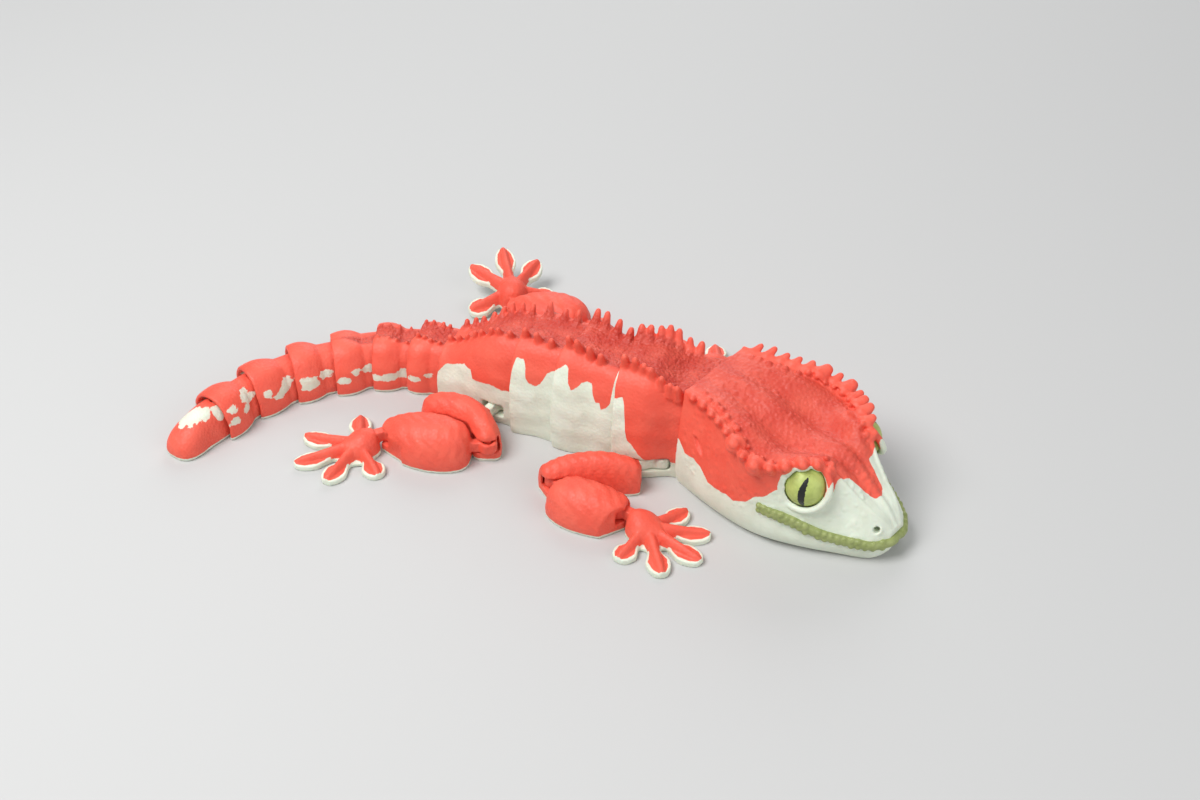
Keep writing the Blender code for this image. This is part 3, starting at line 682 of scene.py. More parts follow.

# Share of the painted shade colour, and of the scales' depth, on pieces without spines, scales on each
# body piece, and the depth of its folds and of a limb's scale lines
TAIL_BACK = 0.12
LIMB_BACK = 0.1
BACK_SCALES = 110
FOLD_DEPTH = 0.1
WAVE_DEPTH = 0.1

# Height of the cream flank along each body piece, x forward from its pin
FLANK = {
    "chest": [(-30, 29.0), (-28.0, 29.8), (-27.0, 27.0), (-26.4, 20.0), (-25.6, 15.2), (-24.2, 14.0),
              (-21.5, 10.3), (-18, 7.0), (-10.4, 6.5), (0, 8.5)],
    "torso_front": [(-21, 30.5), (-19.4, 32.0), (-18.1, 33.0), (-16.9, 32.0), (-16.4, 28.0), (-14.9, 25.6),
                    (-13.3, 26.3), (-11.9, 28.2), (-10.1, 29.4), (-8.4, 29.1), (-7.5, 25.8), (-6.2, 23.2),
                    (-4.7, 23.8), (-4.1, 21.5), (-2.2, 22.5), (-0.6, 25.3), (4, 27)],
    "torso_rear": [(-21, 20.5), (-19.4, 22.1), (-18.8, 27.0), (-18.2, 29.6), (-15.7, 29.8), (-14.6, 27.9),
                   (-14.2, 23.9), (-13.1, 21.7), (-10.6, 21.1), (-9.0, 22.6), (-6.8, 26.9), (-4.9, 28.5),
                   (-2.4, 29.1), (4, 29)],
    "pelvis": [(-33.4, 12.0), (-30.3, 16.0), (-26, 17.4), (-22.5, 19.0), (-19.4, 18.2), (-18.6, 14.8),
               (-11.3, 15.4), (-6.6, 14.6), (-5.2, 15.1), (4, 16)],
}

# Pale flecks on each tail piece: middle along and up, and reach
FLECKS = {
    "tail_1": [(-12.6, 6.9, 1.2), (-8.6, 8.7, 0.9)],
    "tail_2": [(-15.6, 6.2, 1.2), (-11.1, 6.5, 1.7), (-6.6, 7.1, 1.4)],
    "tail_3": [(-14.9, 6.7, 1.2), (-10.7, 9.3, 1.1), (-6.4, 9.0, 1.1)],
    "tail_4": [(-12.9, 9.2, 1.5), (-12.6, 7.2, 1.5), (-6.4, 8.9, 1.3)],
    "tail_5": [(-15.2, 9.4, 1.3), (-11.4, 7.2, 1.4), (-9.0, 8.1, 1.4), (-6.7, 9.6, 1.5)],
    "tail_6": [(-15.0, 10.8, 1.4), (-16.4, 7.0, 1.5), (-10.4, 8.2, 1.1), (-8.4, 11.0, 1.4), (-6.4, 9.8, 1.4)],
}
FLECK_LONG = 1.7


def flecks(name, places):
    """Field of a tail piece's flecks."""
    return np.max([reach - np.hypot((places[:, 0] - x) / FLECK_LONG, places[:, 2] - z)
                   for x, z, reach in FLECKS[name]], axis=0)


def flank(name):
    """Field of a body piece's cream side: positive inside, in millimetres.

    A field times more than one has a cleaner edge, as its noise is fixed.
    """
    def cream(places):
        side = np.full(len(places), ALL_RED)
        if name in FLECKS:
            side = FLECK_CLEAN * flecks(name, places)
        if name in FLANK:
            height = straight(FLANK[name], places[:, 0])
            side = np.maximum(side, FLANK_CLEAN * (height - places[:, 2]))
        bottom = CLEAN * (BAND - places[:, 2])
        nose = CLEAN * (places[:, 0] + NOSE_PALE)
        return np.maximum(np.maximum(side, bottom), nose)
    return cream


def spine_bed_shade(piece):
    """Field of painted shade on the back between the rows of spines, which also deepens the scales there."""
    def back(places):
        ahead = -places[:, 0]
        t = np.clip(ahead / max(piece["length"], 1.0), 0, 1)
        row = piece["nose_row"] + (piece["row"] - piece["nose_row"]) * t
        if not piece["nose_row"]:
            return np.full(len(places), TAIL_BACK)
        inside = np.clip((row + 0.8 - np.abs(places[:, 1])) / 1.2, 0, 1)
        high = np.clip((places[:, 2] - 0.62 * piece["nose_top"]) / 2.0, 0, 1)
        return inside * high
    return back


def body_relief(piece, rng):
    """Small scales on the back and soft folds on the flanks."""
    scales = []
    for _ in range(BACK_SCALES):
        x = rng.uniform(-piece["length"] - 1.5, -3.0)
        _, top, row = profile(piece, -x)
        y = rng.uniform(-0.9, 0.9) * max(row, 4.0)
        dip = dip_of(row) * max(1 - (y / row) ** 2, 0.0) if row else 0.0
        scales.append((np.array((x, y, top - dip)), rng.uniform(0.6, 1.2)))

    def relief(places, normals):
        if piece["row"]:
            studs(places, normals, scales, 1.0, 0.22)
        x, y, z = places.T
        side = np.clip((np.abs(y) - 0.55 * piece["nose"]) / 3.0, 0, 1) * np.clip(z / 3.0, 0, 1)
        folds = np.sin(z * 0.8 + 0.8 * np.sin(x * 0.33) + 0.5 * np.sin(x * 0.7 + z * 0.3))
        places += normals * (FOLD_DEPTH * side * folds)[:, None]
    return relief


def body_shell(piece, follower, rng):
    """One body piece: nose in front, spines on the back, cup behind."""
    pin, heading, nose, nose_top = (piece[key] for key in ("pin", "heading", "nose", "nose_top"))
    rings = nose_rings(nose, nose_top, piece["nose_row"], nose * NOSE_SHAPE)
    start = swing_start(nose, piece["swing"])
    end = piece["length"] + RIM
    count = max(int((end - start) / STEP), 4)
    for i in range(count + 1):
        x = start + (end - start) * i / count
        rings.append([(-x, y, z) for y, z in arch(*profile(piece, x))])
    shell = loft(piece["name"], rings, pin, heading)
    combine(shell, row_spines(piece, rng), "UNION")
    cup, bar, post = cup_tools(pin, heading, piece["length"], follower)
    combine(shell, [cup] + nose_cutters(pin, heading, nose, nose_top), "DIFFERENCE")
    combine(shell, [bar, post], "UNION")
    return shell


TIP_SHAPE = [Vector(p) for p in ((-0.5, 1.0, 1.0), (5.0, 1.0, 1.0), (9.5, 0.97, 0.93), (13.5, 1.02, 0.8),
                                 (17.0, 0.95, 0.62), (19.4, 0.7, 0.42), (20.4, 0.28, 0.2))]
TIP_RINGS = 36

# Pale patches on the tail's tip: middle in plan, and reach along and across
TIP_FLECKS = [(-9.6, 0.0, 4.2, 3.2), (-12.6, 1.6, 2.8, 2.4), (-7.0, -2.0, 2.6, 2.0), (-3.2, -3.8, 1.8, 1.8)]


def tail_tip(pin, nose, nose_top):
    """The rounded last piece of the tail."""
    rings = nose_rings(nose, nose_top, 0.0, nose * NOSE_SHAPE)
    for i in range(4, TIP_RINGS + 1):
        x, wide, high = curve_point(TIP_SHAPE, i / TIP_RINGS)
        rings.append([(-x, y, z) for y, z in arch(nose * wide, nose_top * high)])
    shell = loft("tail_tip", rings, pin, TIP_HEADING)
    combine(shell, nose_cutters(pin, TIP_HEADING, nose, nose_top), "DIFFERENCE")
    return shell


def tip_cream(places):
    """Pale patches on top of the tail's end, and a pale foot."""
    away = np.min([np.hypot((places[:, 0] - x) / wide, (places[:, 1] - y) / high)
                   for x, y, wide, high in TIP_FLECKS], axis=0)
    return np.maximum((1 - away) * 2.0, CLEAN * (BAND - places[:, 2]))


# Head: sizes along its length from the neck pin, x forward

HEAD_LENGTH = 69.0
JAW_HALF = [(-2.4, 19.3), (5, 21.5), (15, 24), (28, 25), (38, 24), (48, 20), (56, 15.5),
            (62, 12), (66, 9), (69, 4.5)]
JAW_Z = [(-2.4, 9), (30, 8), (50, 6.5), (69, 6)]
CREST_HALF = [(-2.4, 15.6), (4, 16.4), (13, 19.2), (21, 22.2), (27, 24.5), (34, 24), (40, 19.5),
              (46, 14.5), (51, 10.5), (58, 7.5), (64, 5.5), (69, 2.5)]
CREST_Z = [(-2.4, 35.8), (8, 35.8), (20, 34.5), (27, 32), (34, 30.5), (40, 31.5), (46, 32.5),
           (50, 29.5), (55, 24), (60, 19), (65, 15), (69, 10)]
FURROW = [(-2.4, 0.0), (8, 0.9), (14, 1.9), (20, 2.8), (36, 3.8), (46, 4.2), (53, 1.4), (60, 0.3), (69, 0.0)]
RIDGE = [(-2.4, 0.4), (10, 0.2), (25, -0.6), (38, -2.0), (46, -2.8), (51, -0.6), (56, 1.0), (62, 1.0),
         (69, 0.5)]
CHIN_HALF = [(-2.4, 17.5), (10, 20), (30, 21.5), (45, 17), (58, 11.5), (65, 8), (69, 3.5)]
CHIN_Z = [(-2.4, 0), (63, 0), (67, 0.8), (69, 2.8)]
HEAD_STEP = 0.8
SECTION_STEPS = 7

EYE_PLACE = (44.2, 14.4, 23.2)
EYE_BALL = 7.0
EYE_GAP = 0.35
EYE_RING = (7.9, 1.15, 2.4)
EYE_AXIS = (0.22, 0.86, 0.42)
LIP_Z = [(33, 14.8), (38, 14.1), (43, 13), (48, 11), (52.5, 9.1), (57, 8), (62, 7.2), (66, 6.4), (69, 6.4)]
LIP_SPAN = (33.5, 68.0)
LIP_R = 1.65
LIP_SINK = 0.75
NOSTRIL = (65.9, 6.4, 11.2)
NOSTRIL_BORE = (1.25, 1.1, 1.0, 0.9, 0.6)
EAR = ((4.6, 19.0, 24.0), (9.8, 21.4, 19.6))
EAR_BORE = (0.3, 0.8, 1.05, 1.1, 1.0, 0.8, 0.3)
LIP_STEPS = 39
LIP_FRONT = 0.2
KNOB_OUT = 0.75


def mirrored(place, side):
    """A place of the head on one side of it."""
    x, y, z = place
    return (x, side * y, z)


def head_section(x):
    """Section (y, z) of the head from the near side over the top."""
    chin, chin_z = along(CHIN_HALF, x), max(along(CHIN_Z, x), 0.0)
    jaw, jaw_z = along(JAW_HALF, x), along(JAW_Z, x)
    crest, crest_z = along(CREST_HALF, x), along(CREST_Z, x)
    furrow, ridge = along(FURROW, x), along(RIDGE, x)
    side = [(chin, chin_z), ((chin + 2 * jaw) / 3, chin_z + (jaw_z - chin_z) * 0.35), (jaw, jaw_z),
            (jaw * 0.72 + crest * 0.28, jaw_z + (crest_z - jaw_z) * 0.4),
            (jaw * 0.25 + crest * 0.75, jaw_z + (crest_z - jaw_z) * 0.8), (crest, crest_z),
            (crest * 0.85, crest_z - furrow * 0.45), (crest * 0.6, crest_z - furrow * 0.25),
            (crest * 0.3, crest_z - furrow)]
    line = [(-y, z) for y, z in side] + [(0.0, crest_z + ridge)] + side[::-1]
    return [(p.x, max(p.y, 0.0)) for p in finer(line, SECTION_STEPS)]


def ball(name, centre, radius, rings=40, sides=64):
    """Round solid of the head."""
    made = []
    for i in range(1, rings):
        a = math.pi * i / rings
        made.append([(centre[0] + radius * math.sin(a) * math.cos(2 * math.pi * k / sides),
                      centre[1] + radius * math.sin(a) * math.sin(2 * math.pi * k / sides),
                      centre[2] - radius * math.cos(a)) for k in range(sides)])
    return loft(name, made, NECK_PIN, HEAD_HEADING)


def tube(name, path, radii, sides=12):
    """Round bar of the head along a path, of its own radius at each point."""
    rings = []
    for i, point in enumerate(path):
        ahead = (path[min(i + 1, len(path) - 1)] - path[max(i - 1, 0)]).normalized()
        across = ahead.cross(Vector((0, 0, 1))).normalized()
        up = across.cross(ahead)
        rings.append([point + radii[i] * (across * math.cos(a) + up * math.sin(a))
                      for a in (2 * math.pi * k / sides for k in range(sides))])
    return loft(name, rings, NECK_PIN, HEAD_HEADING)


def lip_path():
    """Line of the mouth, from one corner round the snout to the other."""
    start, end = LIP_SPAN
    near = []
    for i in range(LIP_STEPS + 1):
        x = start + (end - start) * i / LIP_STEPS
        near.append(Vector((x, LIP_SINK - along(JAW_HALF, x), along(LIP_Z, x))))
    front = Vector((HEAD_LENGTH - LIP_FRONT, 0.0, along(LIP_Z, HEAD_LENGTH)))
    turn = [near[-1].lerp(front, t) + Vector((0.9 * math.sin(math.pi * t), 0, 0)) for t in (0.33, 0.66)]
    half = near + turn
    return half + [front] + [Vector(mirrored(p, -1)) for p in reversed(half)]


def make_lips():
    """Knobbly green strip along the mouth."""
    path = lip_path()
    last = len(path) - 1
    radii = [LIP_R * (min(1.0, 0.45 + min(i, last - i) / 6)) for i in range(last + 1)]
    lips = tube("lips", path, radii)
    rng = random.Random(SEED + 3)
    knobs = []
    for i in range(1, last, 2):
        size = LIP_R * rng.uniform(0.5, 0.72)
        for rise in (-0.62, 0.62):
            up = rise * LIP_R * rng.uniform(0.7, 1.1)
            place = path[i] + Vector((0, math.copysign(KNOB_OUT, path[i].y), up))
            knobs.append(ball("knob", place, size, 8, 12))
    combine(lips, knobs, "UNION")
    return lips


def eye_ring(side):
    """Raised ring round an eye."""
    major, minor, out = EYE_RING
    axis = Vector(mirrored(EYE_AXIS, side)).normalized()
    centre = Vector(mirrored(EYE_PLACE, side)) + axis * out
    first = axis.cross(Vector((0, 0, 1))).normalized()
    second = axis.cross(first)
    sides, rings = 12, 48
    points, faces = [], []
    for i in range(rings):
        a = 2 * math.pi * i / rings
        radial = first * math.cos(a) + second * math.sin(a)
        for k in range(sides):
            b = 2 * math.pi * k / sides
            points.append(centre + radial * (major + minor * math.cos(b)) + axis * (minor * math.sin(b)))
            j, n = (i + 1) % rings, (k + 1) % sides
            faces.append((i * sides + k, j * sides + k, j * sides + n, i * sides + n))
    return solid("ring", points, faces, NECK_PIN, HEAD_HEADING)


# Spines of a crest: place along the head, length and root radius
CREST_SPINES = [(1.5, 3.4, 1.3), (6.0, 4.0, 1.4), (10.5, 3.4, 1.3), (14.5, 3.6, 1.3), (18.8, 3.4, 1.4),
                (23.0, 4.0, 2.3), (27.2, 3.4, 1.4), (31.8, 4.2, 2.4), (36.0, 3.2, 1.5), (39.6, 3.6, 1.9),
                (43.4, 3.4, 1.9), (46.8, 3.0, 1.6), (49.8, 2.6, 1.4)]


def crest_spines(rng):
    """Blunt spines along both crests of the head."""
    made = []
    for side in (-1, 1):
        for x, height, root in CREST_SPINES:
            foot = (x, side * along(CREST_HALF, x), along(CREST_Z, x) - 0.8)
            lean = (rng.uniform(0.3, 0.7), side, 0.8)
            height *= rng.uniform(0.9, 1.15)
            made.append(spine(foot, lean, height, root, NECK_PIN, HEAD_HEADING, wide=1.15))
    return made


# Large tubercles on a crest: place, and the radius of each
TUBERCLES = [(23.0, 2.7), (31.8, 2.8), (27.4, 1.5), (36.4, 1.6)]
NOSTRIL_SWELL = 2.1
MID_BUMPS = 17


def mid_bumps(rng):
    """Low tubercles on and inside the crests, and swollen nostrils."""
    made = []
    for side in (-1, 1):
        for x, size in TUBERCLES:
            place = (x, side * (along(CREST_HALF, x) + 0.5), along(CREST_Z, x) - 1.0)
            made.append(ball("bump", place, size, 12, 18))
        x, y, z = NOSTRIL
        made.append(ball("swell", (x - 0.8, side * (y - 1.0), z - 0.8), NOSTRIL_SWELL, 12, 18))
        for i in range(MID_BUMPS):
            x = 3.0 + 2.9 * i + rng.uniform(-0.6, 0.6)
            y = side * (along(CREST_HALF, x) - rng.uniform(2.6, 4.4))
            z = along(CREST_Z, x) - 0.12 * along(FURROW, x)
            made.append(ball("bump", (x, y, z - 0.2), rng.uniform(0.8, 1.3), 8, 12))
    return made


def head_shell(follower):
    """The head, with its cup for the neck, eye sockets, nostrils and ears."""
    rng = random.Random(SEED)
    count = int((HEAD_LENGTH + RIM) / HEAD_STEP)
    rings = []
    for i in range(count + 1):
        x = -RIM + (HEAD_LENGTH + RIM) * i / count
        rings.append([(x, y, z) for y, z in head_section(x)])
    shell = loft("head", rings, NECK_PIN, HEAD_HEADING)
    combine(shell, crest_spines(rng) + mid_bumps(rng) + [eye_ring(side) for side in (-1, 1)], "UNION")
    cup, bar, post = cup_tools(NECK_PIN, HEAD_HEADING, 0.0, follower)
    cutters = [cup]
    for side in (-1, 1):
        cutters.append(ball("socket", mirrored(EYE_PLACE, side), EYE_BALL + EYE_GAP))
        x, y, z = NOSTRIL
        path = [Vector((x - 0.5 * t, side * (y + 0.7 - t), z + 0.3 - 0.4 * t))
                for t in range(len(NOSTRIL_BORE))]
        cutters.append(tube("nostril", path, NOSTRIL_BORE))
        first, last = (Vector(mirrored(place, side)) for place in EAR)
        path = [first.lerp(last, t / (len(EAR_BORE) - 1)) for t in range(len(EAR_BORE))]
        cutters.append(tube("ear", path, EAR_BORE))
    combine(shell, cutters, "DIFFERENCE")
    combine(shell, [bar, post], "UNION")
    return shell


# Edge of the pale face: its height along the head, and in plan on the snout
FACE = [(-3, 18.8), (-1.4, 18.4), (1.8, 15.6), (6.2, 16.4), (9.9, 15.5), (13.9, 12.6), (18.2, 12.5),
        (22.3, 12.9), (24.9, 12.2), (29.7, 14.7), (32.4, 17.7), (35.6, 19.4), (38.3, 22.5), (52.8, 23.0),
        (53.6, 5.0), (70, 0.0)]
STREAK = [(-10.1, 52.4), (-5.9, 54), (-4.1, 56.6), (-3, 59), (-1.3, 61.5), (0.7, 62), (3.4, 60.4),
          (4.2, 57.6), (4.8, 55.3), (5.0, 53.5), (7.6, 53.1), (10.5, 52.4)]
FACE_RING = 9.4
BROW = 0.9
FACE_CLEAN = 3.0
RING_FRONT = 1.4
CREST_EDGE = 1.0

# Scales of the head, and the first point of a section that is on the crown
CROWN_SCALES = 420
CHEEK_SCALES = 320
CROWN_FROM = 40


def head_cream(places):
    """The pale face, snout and ring round each eye."""
    x, y, z = places.T
    below = straight(FACE, x) - z
    ahead = x - straight(STREAK, y)
    eye = np.array(EYE_PLACE)
    away = np.sqrt((x - eye[0]) ** 2 + (np.abs(y) - eye[1]) ** 2 + (z - eye[2]) ** 2)
    out = (np.abs(y) - eye[1]) * EYE_AXIS[1] + (z - eye[2]) * EYE_AXIS[2]
    brow = straight(CREST_Z, x) - BROW - z
    outside = np.abs(y) - straight(CREST_HALF, x) + CREST_EDGE
    ring = np.min([FACE_RING - away, out - RING_FRONT, brow, outside], axis=0)
    return FACE_CLEAN * np.maximum(np.maximum(below, ahead), ring)


def head_furrow_shade(places):
    """Painted shade darkening the furrows between the crests, where the scales are also deeper."""
    x, y, z = places.T
    half = straight(CREST_HALF, x)
    top = straight(CREST_Z, x)
    inside = np.clip((half - 2.5 - np.abs(y)) / 2.0, 0, 1) * np.clip((z - top + 7.0) / 2.0, 0, 1)
    return inside * np.clip((56.0 - x) / 4.0, 0, 1) * 0.7


def head_relief(places, normals):
    """Scales on the crown and cheeks."""
    rng = random.Random(SEED + 9)
    crown, cheek = [], []
    for _ in range(CROWN_SCALES):
        x = rng.uniform(4.0, 60.0)
        y = rng.gauss(0.0, 0.42) * along(CREST_HALF, x)
        z = straight(head_section(x)[CROWN_FROM:-CROWN_FROM], y)
        crown.append((np.array((x, y, z)), rng.uniform(0.6, 1.25)))
    for _ in range(CHEEK_SCALES):
        x, side, share = rng.uniform(0.0, 62.0), rng.choice((-1, 1)), rng.uniform(0.1, 0.9)
        jaw, crest = along(JAW_HALF, x), along(CREST_HALF, x)
        low, high = along(JAW_Z, x), along(CREST_Z, x)
        y = side * (jaw + (crest - jaw) * share)
        cheek.append((np.array((x, y, low + (high - low) * share)), rng.uniform(0.6, 1.3)))
    studs(places, normals, crown, 1.0, 0.2)
    studs(places, normals, cheek, 1.2, 0.18)


PUPIL = (46.6, 23.8, 5.4, 1.3)


def pupil(places):
    """Upright slit of an eye."""
    x, z, tall, wide = PUPIL
    reach = np.sqrt(np.clip(1 - ((places[:, 2] - z) / tall) ** 2, 0.0, 1.0))
    return wide * reach - 0.25 - np.abs(places[:, 0] - x)


# Legs: a place of an arm, and each hip, is how far it lies behind the pin of
# the chest or pelvis and out to the side. A leg's other places are in plan

ARM = dict(
    shoulder=(15.5, 12.5), elbow=(45.4, 32.1), wrist=(21.6, 39.9),
    upper=[(19.2, 22.5), (25.0, 23.8), (33.5, 25.6), (40.5, 28.6), (45.5, 32.2), (48.4, 35.0)],
    lower=[(42.8, 38.0), (39.5, 39.6), (33, 40.9), (26, 41.5), (20.6, 41.5), (18.3, 41.4)],
    hand=-20.0)
LEG = {
    "right": dict(
        hip=(10.0, 9.0), knee=(-36.8, -31.0), ankle=(-69.0, -24.2), foot=203.0, tilt=0.0,
        upper=[(-60.0, -12.0), (-56, -12.6), (-49, -14.8), (-42.5, -19), (-38.9, -24.3), (-37.4, -28.8),
               (-37.4, -32.8)],
        lower=[(-42.5, -32.2), (-46, -31.5), (-54, -29.3), (-62, -26.5), (-68, -24.4), (-71.4, -23.4)]),
    "left": dict(
        hip=(10.0, 9.0), knee=(0.5, 33.6), ankle=(-30.8, 46.0), foot=98.0, tilt=20.0,
        upper=[(-35, 27.4), (-31, 25.6), (-24, 22.8), (-16, 21.2), (-7.5, 23.8), (-1.2, 30.0), (1.6, 35.6)],
        lower=[(-4.9, 36.7), (-8, 38.3), (-15, 41.2), (-23, 43.8), (-29.3, 45.6), (-33.3, 46.6)]),
}
UPPER_LEG = [(0.0, 2.0, 6), (0.08, 4.4, 10), (0.25, 6.0, 13), (0.45, 6.2, 14), (0.63, 5.8, 13.5),
             (0.82, 5.2, 12), (0.93, 4.6, 10.8), (1.0, 2.4, 9.6)]
LOWER_LEG = [(0.0, 2.8, 8), (0.08, 5.4, 11), (0.22, 8.4, 13.5), (0.4, 10.2, 14.5), (0.6, 9.5, 13.5),
             (0.78, 7.2, 11.5), (0.92, 5.4, 9.8), (1.0, 4.4, 9.2)]
UPPER_ARM = [(0.0, 3.0, 9), (0.09, 4.2, 11.5), (0.3, 5.3, 13.5), (0.55, 5.8, 13), (0.8, 5.4, 11.8),
             (0.93, 4.8, 10.8), (1.0, 2.8, 9.6)]
LOWER_ARM = [(0.0, 3.0, 8), (0.1, 6.0, 11), (0.3, 8.6, 13), (0.55, 8.8, 12.8), (0.8, 7.6, 11),
             (0.93, 7.0, 10.0), (1.0, 6.4, 9.4)]

# Toes: angle from the foot's axis, and length from the middle of the palm
HAND_TOES = [(-90, 15.3), (-39, 19.3), (0, 20.8), (36, 20), (77, 16.9)]
FOOT_TOES = [(-108, 17.5), (-44, 20.6), (-4, 21.9), (37, 18.6), (97, 15.6)]
PALM_AHEAD = 11.5
PALM = [(5.0, 2.8, 6.0), (6.6, 4.6, 8.4), (10.5, 6.2, 8.6), (14.0, 5.2, 7.0), (16.5, 3.0, 5.6)]
PAD_TOP = 2.0
PAD_SHAPE = [(0.1, 2.0), (0.44, 2.0), (0.68, 3.8), (0.86, 3.3), (0.97, 1.9), (1.0, 0.5)]
PAD_BORDER = 0.8
RIDGE_SHAPE = [(0.05, 2.6, 6.4), (0.5, 1.9, 4.8), (0.9, 1.5, 3.4), (1.0, 0.8, 2.4)]
WEB_REACH = 0.5
WEB_TOP = 1.5
WEB_WIDEST = 62.0
HEEL = 2.2
TOE_ROOT = 6.5
SLOT_REACH = 13.0
LIMB_ROOM = 0.5
FOOT_ROOM = 4.5
ARM_SWINGS = ((-4, 19), (-39, 4), (-24, 24))
LEG_SWINGS = ((-4, 16), (-4, 54), (-24, 24))

# Point of an upper limb's line that its tongue from the body runs to
TONGUE_TO = {"arm_upper_": 2, "thigh_": 3}
LIMB_STEPS = 6
TONGUE_PALE = 8.0


def limb(name, path, sizes, pin, floor=0.0, grow=0.0, steps=LIMB_STEPS):
    """Arched piece along a smooth line in plan, its origin on its pin."""
    line = [Vector(p) - pin for p in path]
    rings = []
    for t, half, top in finer(sizes, steps):
        t = min(max(t, 0.0), 1.0)
        here = curve_point(line, t)
        ahead = curve_point(line, min(t + 0.02, 1.0)) - curve_point(line, max(t - 0.02, 0.0))
        across = Vector((-ahead.y, ahead.x)).normalized()
        rings.append([(here.x + across.x * y, here.y + across.y * y, z)
                      for y, z in arch(half + grow, top + grow, points=33, power=2.3, floor=floor)])
    return loft(name, rings, pin)


def make_room(parent, path, sizes, pin, turn):
    """Cut out of a piece what the limb on its pin sweeps."""
    low, high = turn
    swept = []
    for angle in (low, 0.0, (low + high) / 2, high):
        cutter = limb("room", path, sizes, pin, -1.0, LIMB_ROOM, 3)
        cutter.rotation_euler = (0.0, 0.0, math.radians(angle))
        swept.append(cutter)
    combine(parent, swept, "DIFFERENCE")


def make_foot_room(parent, pin, heading, turn):
    """Cut the end of a limb back to where the foot's heel sweeps."""
    outline = [(FOOT_ROOM, -10.0), (FOOT_ROOM + 12.0, -10.0), (FOOT_ROOM + 12.0, 10.0), (FOOT_ROOM, 10.0)]
    swept = [prism("room", outline, -1.0, 20.0, pin, heading + angle) for angle in (turn[0], 0.0, turn[1])]
    combine(parent, swept, "DIFFERENCE")


def angle_to(start, end):
    """Plan angle from one point to another."""
    return math.degrees(math.atan2(end[1] - start[1], end[0] - start[0]))


def add_tongue(target, pin, toward, length):
    """Give a piece its eye on its pin, and the tongue that carries it."""
    ahead, across = unit(toward), unit(toward + 90)
    corners = ((-1, 0), (-1, length), (1, length), (1, 0))
    bar = [tuple(s * TONGUE_HALF * across + d * ahead) for s, d in corners]
    pieces = [prism("eye", disc(EYE_R, 24), *TONGUE_Z, pin), prism("tongue", bar, *TONGUE_Z, pin)]
    combine(target, pieces, "UNION")
    hole = prism("hole", disc(EYE_HOLE_R, 20), TONGUE_Z[0] - 0.4, TONGUE_Z[1] + 0.4, pin)
    combine(target, [hole], "DIFFERENCE")


def add_socket(target, pin, mouth, swing):
    """Cut a slot into a piece, open toward an angle, and set the pin across it."""
    low, high = swing
    edge = TONGUE_HALF + TONGUE_GAP
    outline = [tuple(SLOT_R * unit(mouth + a)) for a in range(80, 281, 10)]
    for turn, side in ((low, -1), (high, 1)):
        outline.append(tuple(SLOT_REACH * unit(mouth + turn) + side * edge * unit(mouth + turn + 90)))
    combine(target, [prism("slot", outline, *SLOT_Z, pin)], "DIFFERENCE")
    post = prism("post", disc(PIN_R, 20), SLOT_Z[0] - PIN_ROOT, SLOT_Z[1] + PIN_ROOT, pin)
    combine(target, [post], "UNION")


def toe(palm, angle, length, lift):
    """Pad and ridge of one toe, as rings in the foot's own frame."""
    ahead, across = unit(angle), unit(angle + 90)
    shape = finer(PAD_SHAPE, 5)
    left = [palm + ahead * length * t + across * w for t, w in shape]
    right = [palm + ahead * length * t - across * w for t, w in shape]
    outline = left + right[::-1]
    pad = [[lift((p.x, p.y, z)) for p in outline] for z in (0.0, PAD_TOP)]
    ridge = []
    for t, half, top in finer(RIDGE_SHAPE, 6):
        here = palm + ahead * length * t
        ridge.append([lift((here.x + across.x * y, here.y + across.y * y, z + 0.4))
                      for y, z in arch(half, top - 0.4, points=17, power=2.0, tuck=0.0)])
    return pad, ridge


def webs(palm, toes, mirror, lift):
    """Thin skin between toes that lie close."""
    made = []
    for (a, first), (b, second) in zip(toes, toes[1:]):
        if b - a > WEB_WIDEST:
            continue
        ends = [palm + unit(a * mirror) * first * WEB_REACH, palm + unit(b * mirror) * second * WEB_REACH]
        middle = palm + unit((a + b) / 2 * mirror) * (first + second) / 2 * WEB_REACH * 0.82
        outline = [palm, ends[0], middle, ends[1]]
        made.append([[lift((p.x, p.y, z)) for p in outline] for z in (0.1, WEB_TOP)])
    return made


def foot(name, pin, heading, toes, mirror, tilt=0.0):
    """Palm with five toes, its toes tilted up from the heel."""
    rise, run = math.sin(math.radians(tilt)), math.cos(math.radians(tilt))

    def lift(p):
        ahead = p[0] - HEEL
        return (HEEL + ahead * run, p[1], p[2] + ahead * rise)

    palm = Vector((PALM_AHEAD, 0.0))
    rings = [[lift((x, y, z)) for y, z in arch(half, top, points=31, power=2.2)]
             for x, half, top in finer(PALM, 6)]
    made = loft(name, rings, pin, heading)
    pieces = []
    for angle, length in toes:
        pad, ridge = toe(palm, angle * mirror, length, lift)
        pieces.append(loft("pad", pad, pin, heading))
        pieces.append(loft("ridge", ridge, pin, heading))
    pieces += [loft("web", web, pin, heading) for web in webs(palm, toes, mirror, lift)]
    combine(made, pieces, "UNION")
    return made


def leg(side, root, names, places, paths, sizes, swings, toes, tilt):
    """One leg of three pieces on its root piece, from the body out."""
    mirror = 1 if side == "right" else -1
    hip, knee, ankle, heading = places
    turns = [tuple(sorted((mirror * low, mirror * high))) for low, high in swings]
    upper = limb(names[0] + side, paths[0], sizes[0], hip)
    lower = limb(names[1] + side, paths[1], sizes[1], knee)
    end = foot(names[2] + side, ankle, heading, toes, mirror, tilt)
    make_room(upper, paths[1], sizes[1], knee, turns[1])
    make_foot_room(lower, ankle, heading, turns[2])
    for parent, child, pin, target, turn in (
            (root, upper, hip, paths[0][TONGUE_TO[names[0]]], turns[0]),
            (upper, lower, knee, paths[1][1], turns[1]),
            (lower, end, ankle, ankle + TOE_ROOT * unit(heading), turns[2])):
        toward = angle_to(pin, target)
        add_tongue(child, pin, toward, (target - pin).length)
        add_socket(parent, pin, toward, turn)
    return [upper, lower, end]


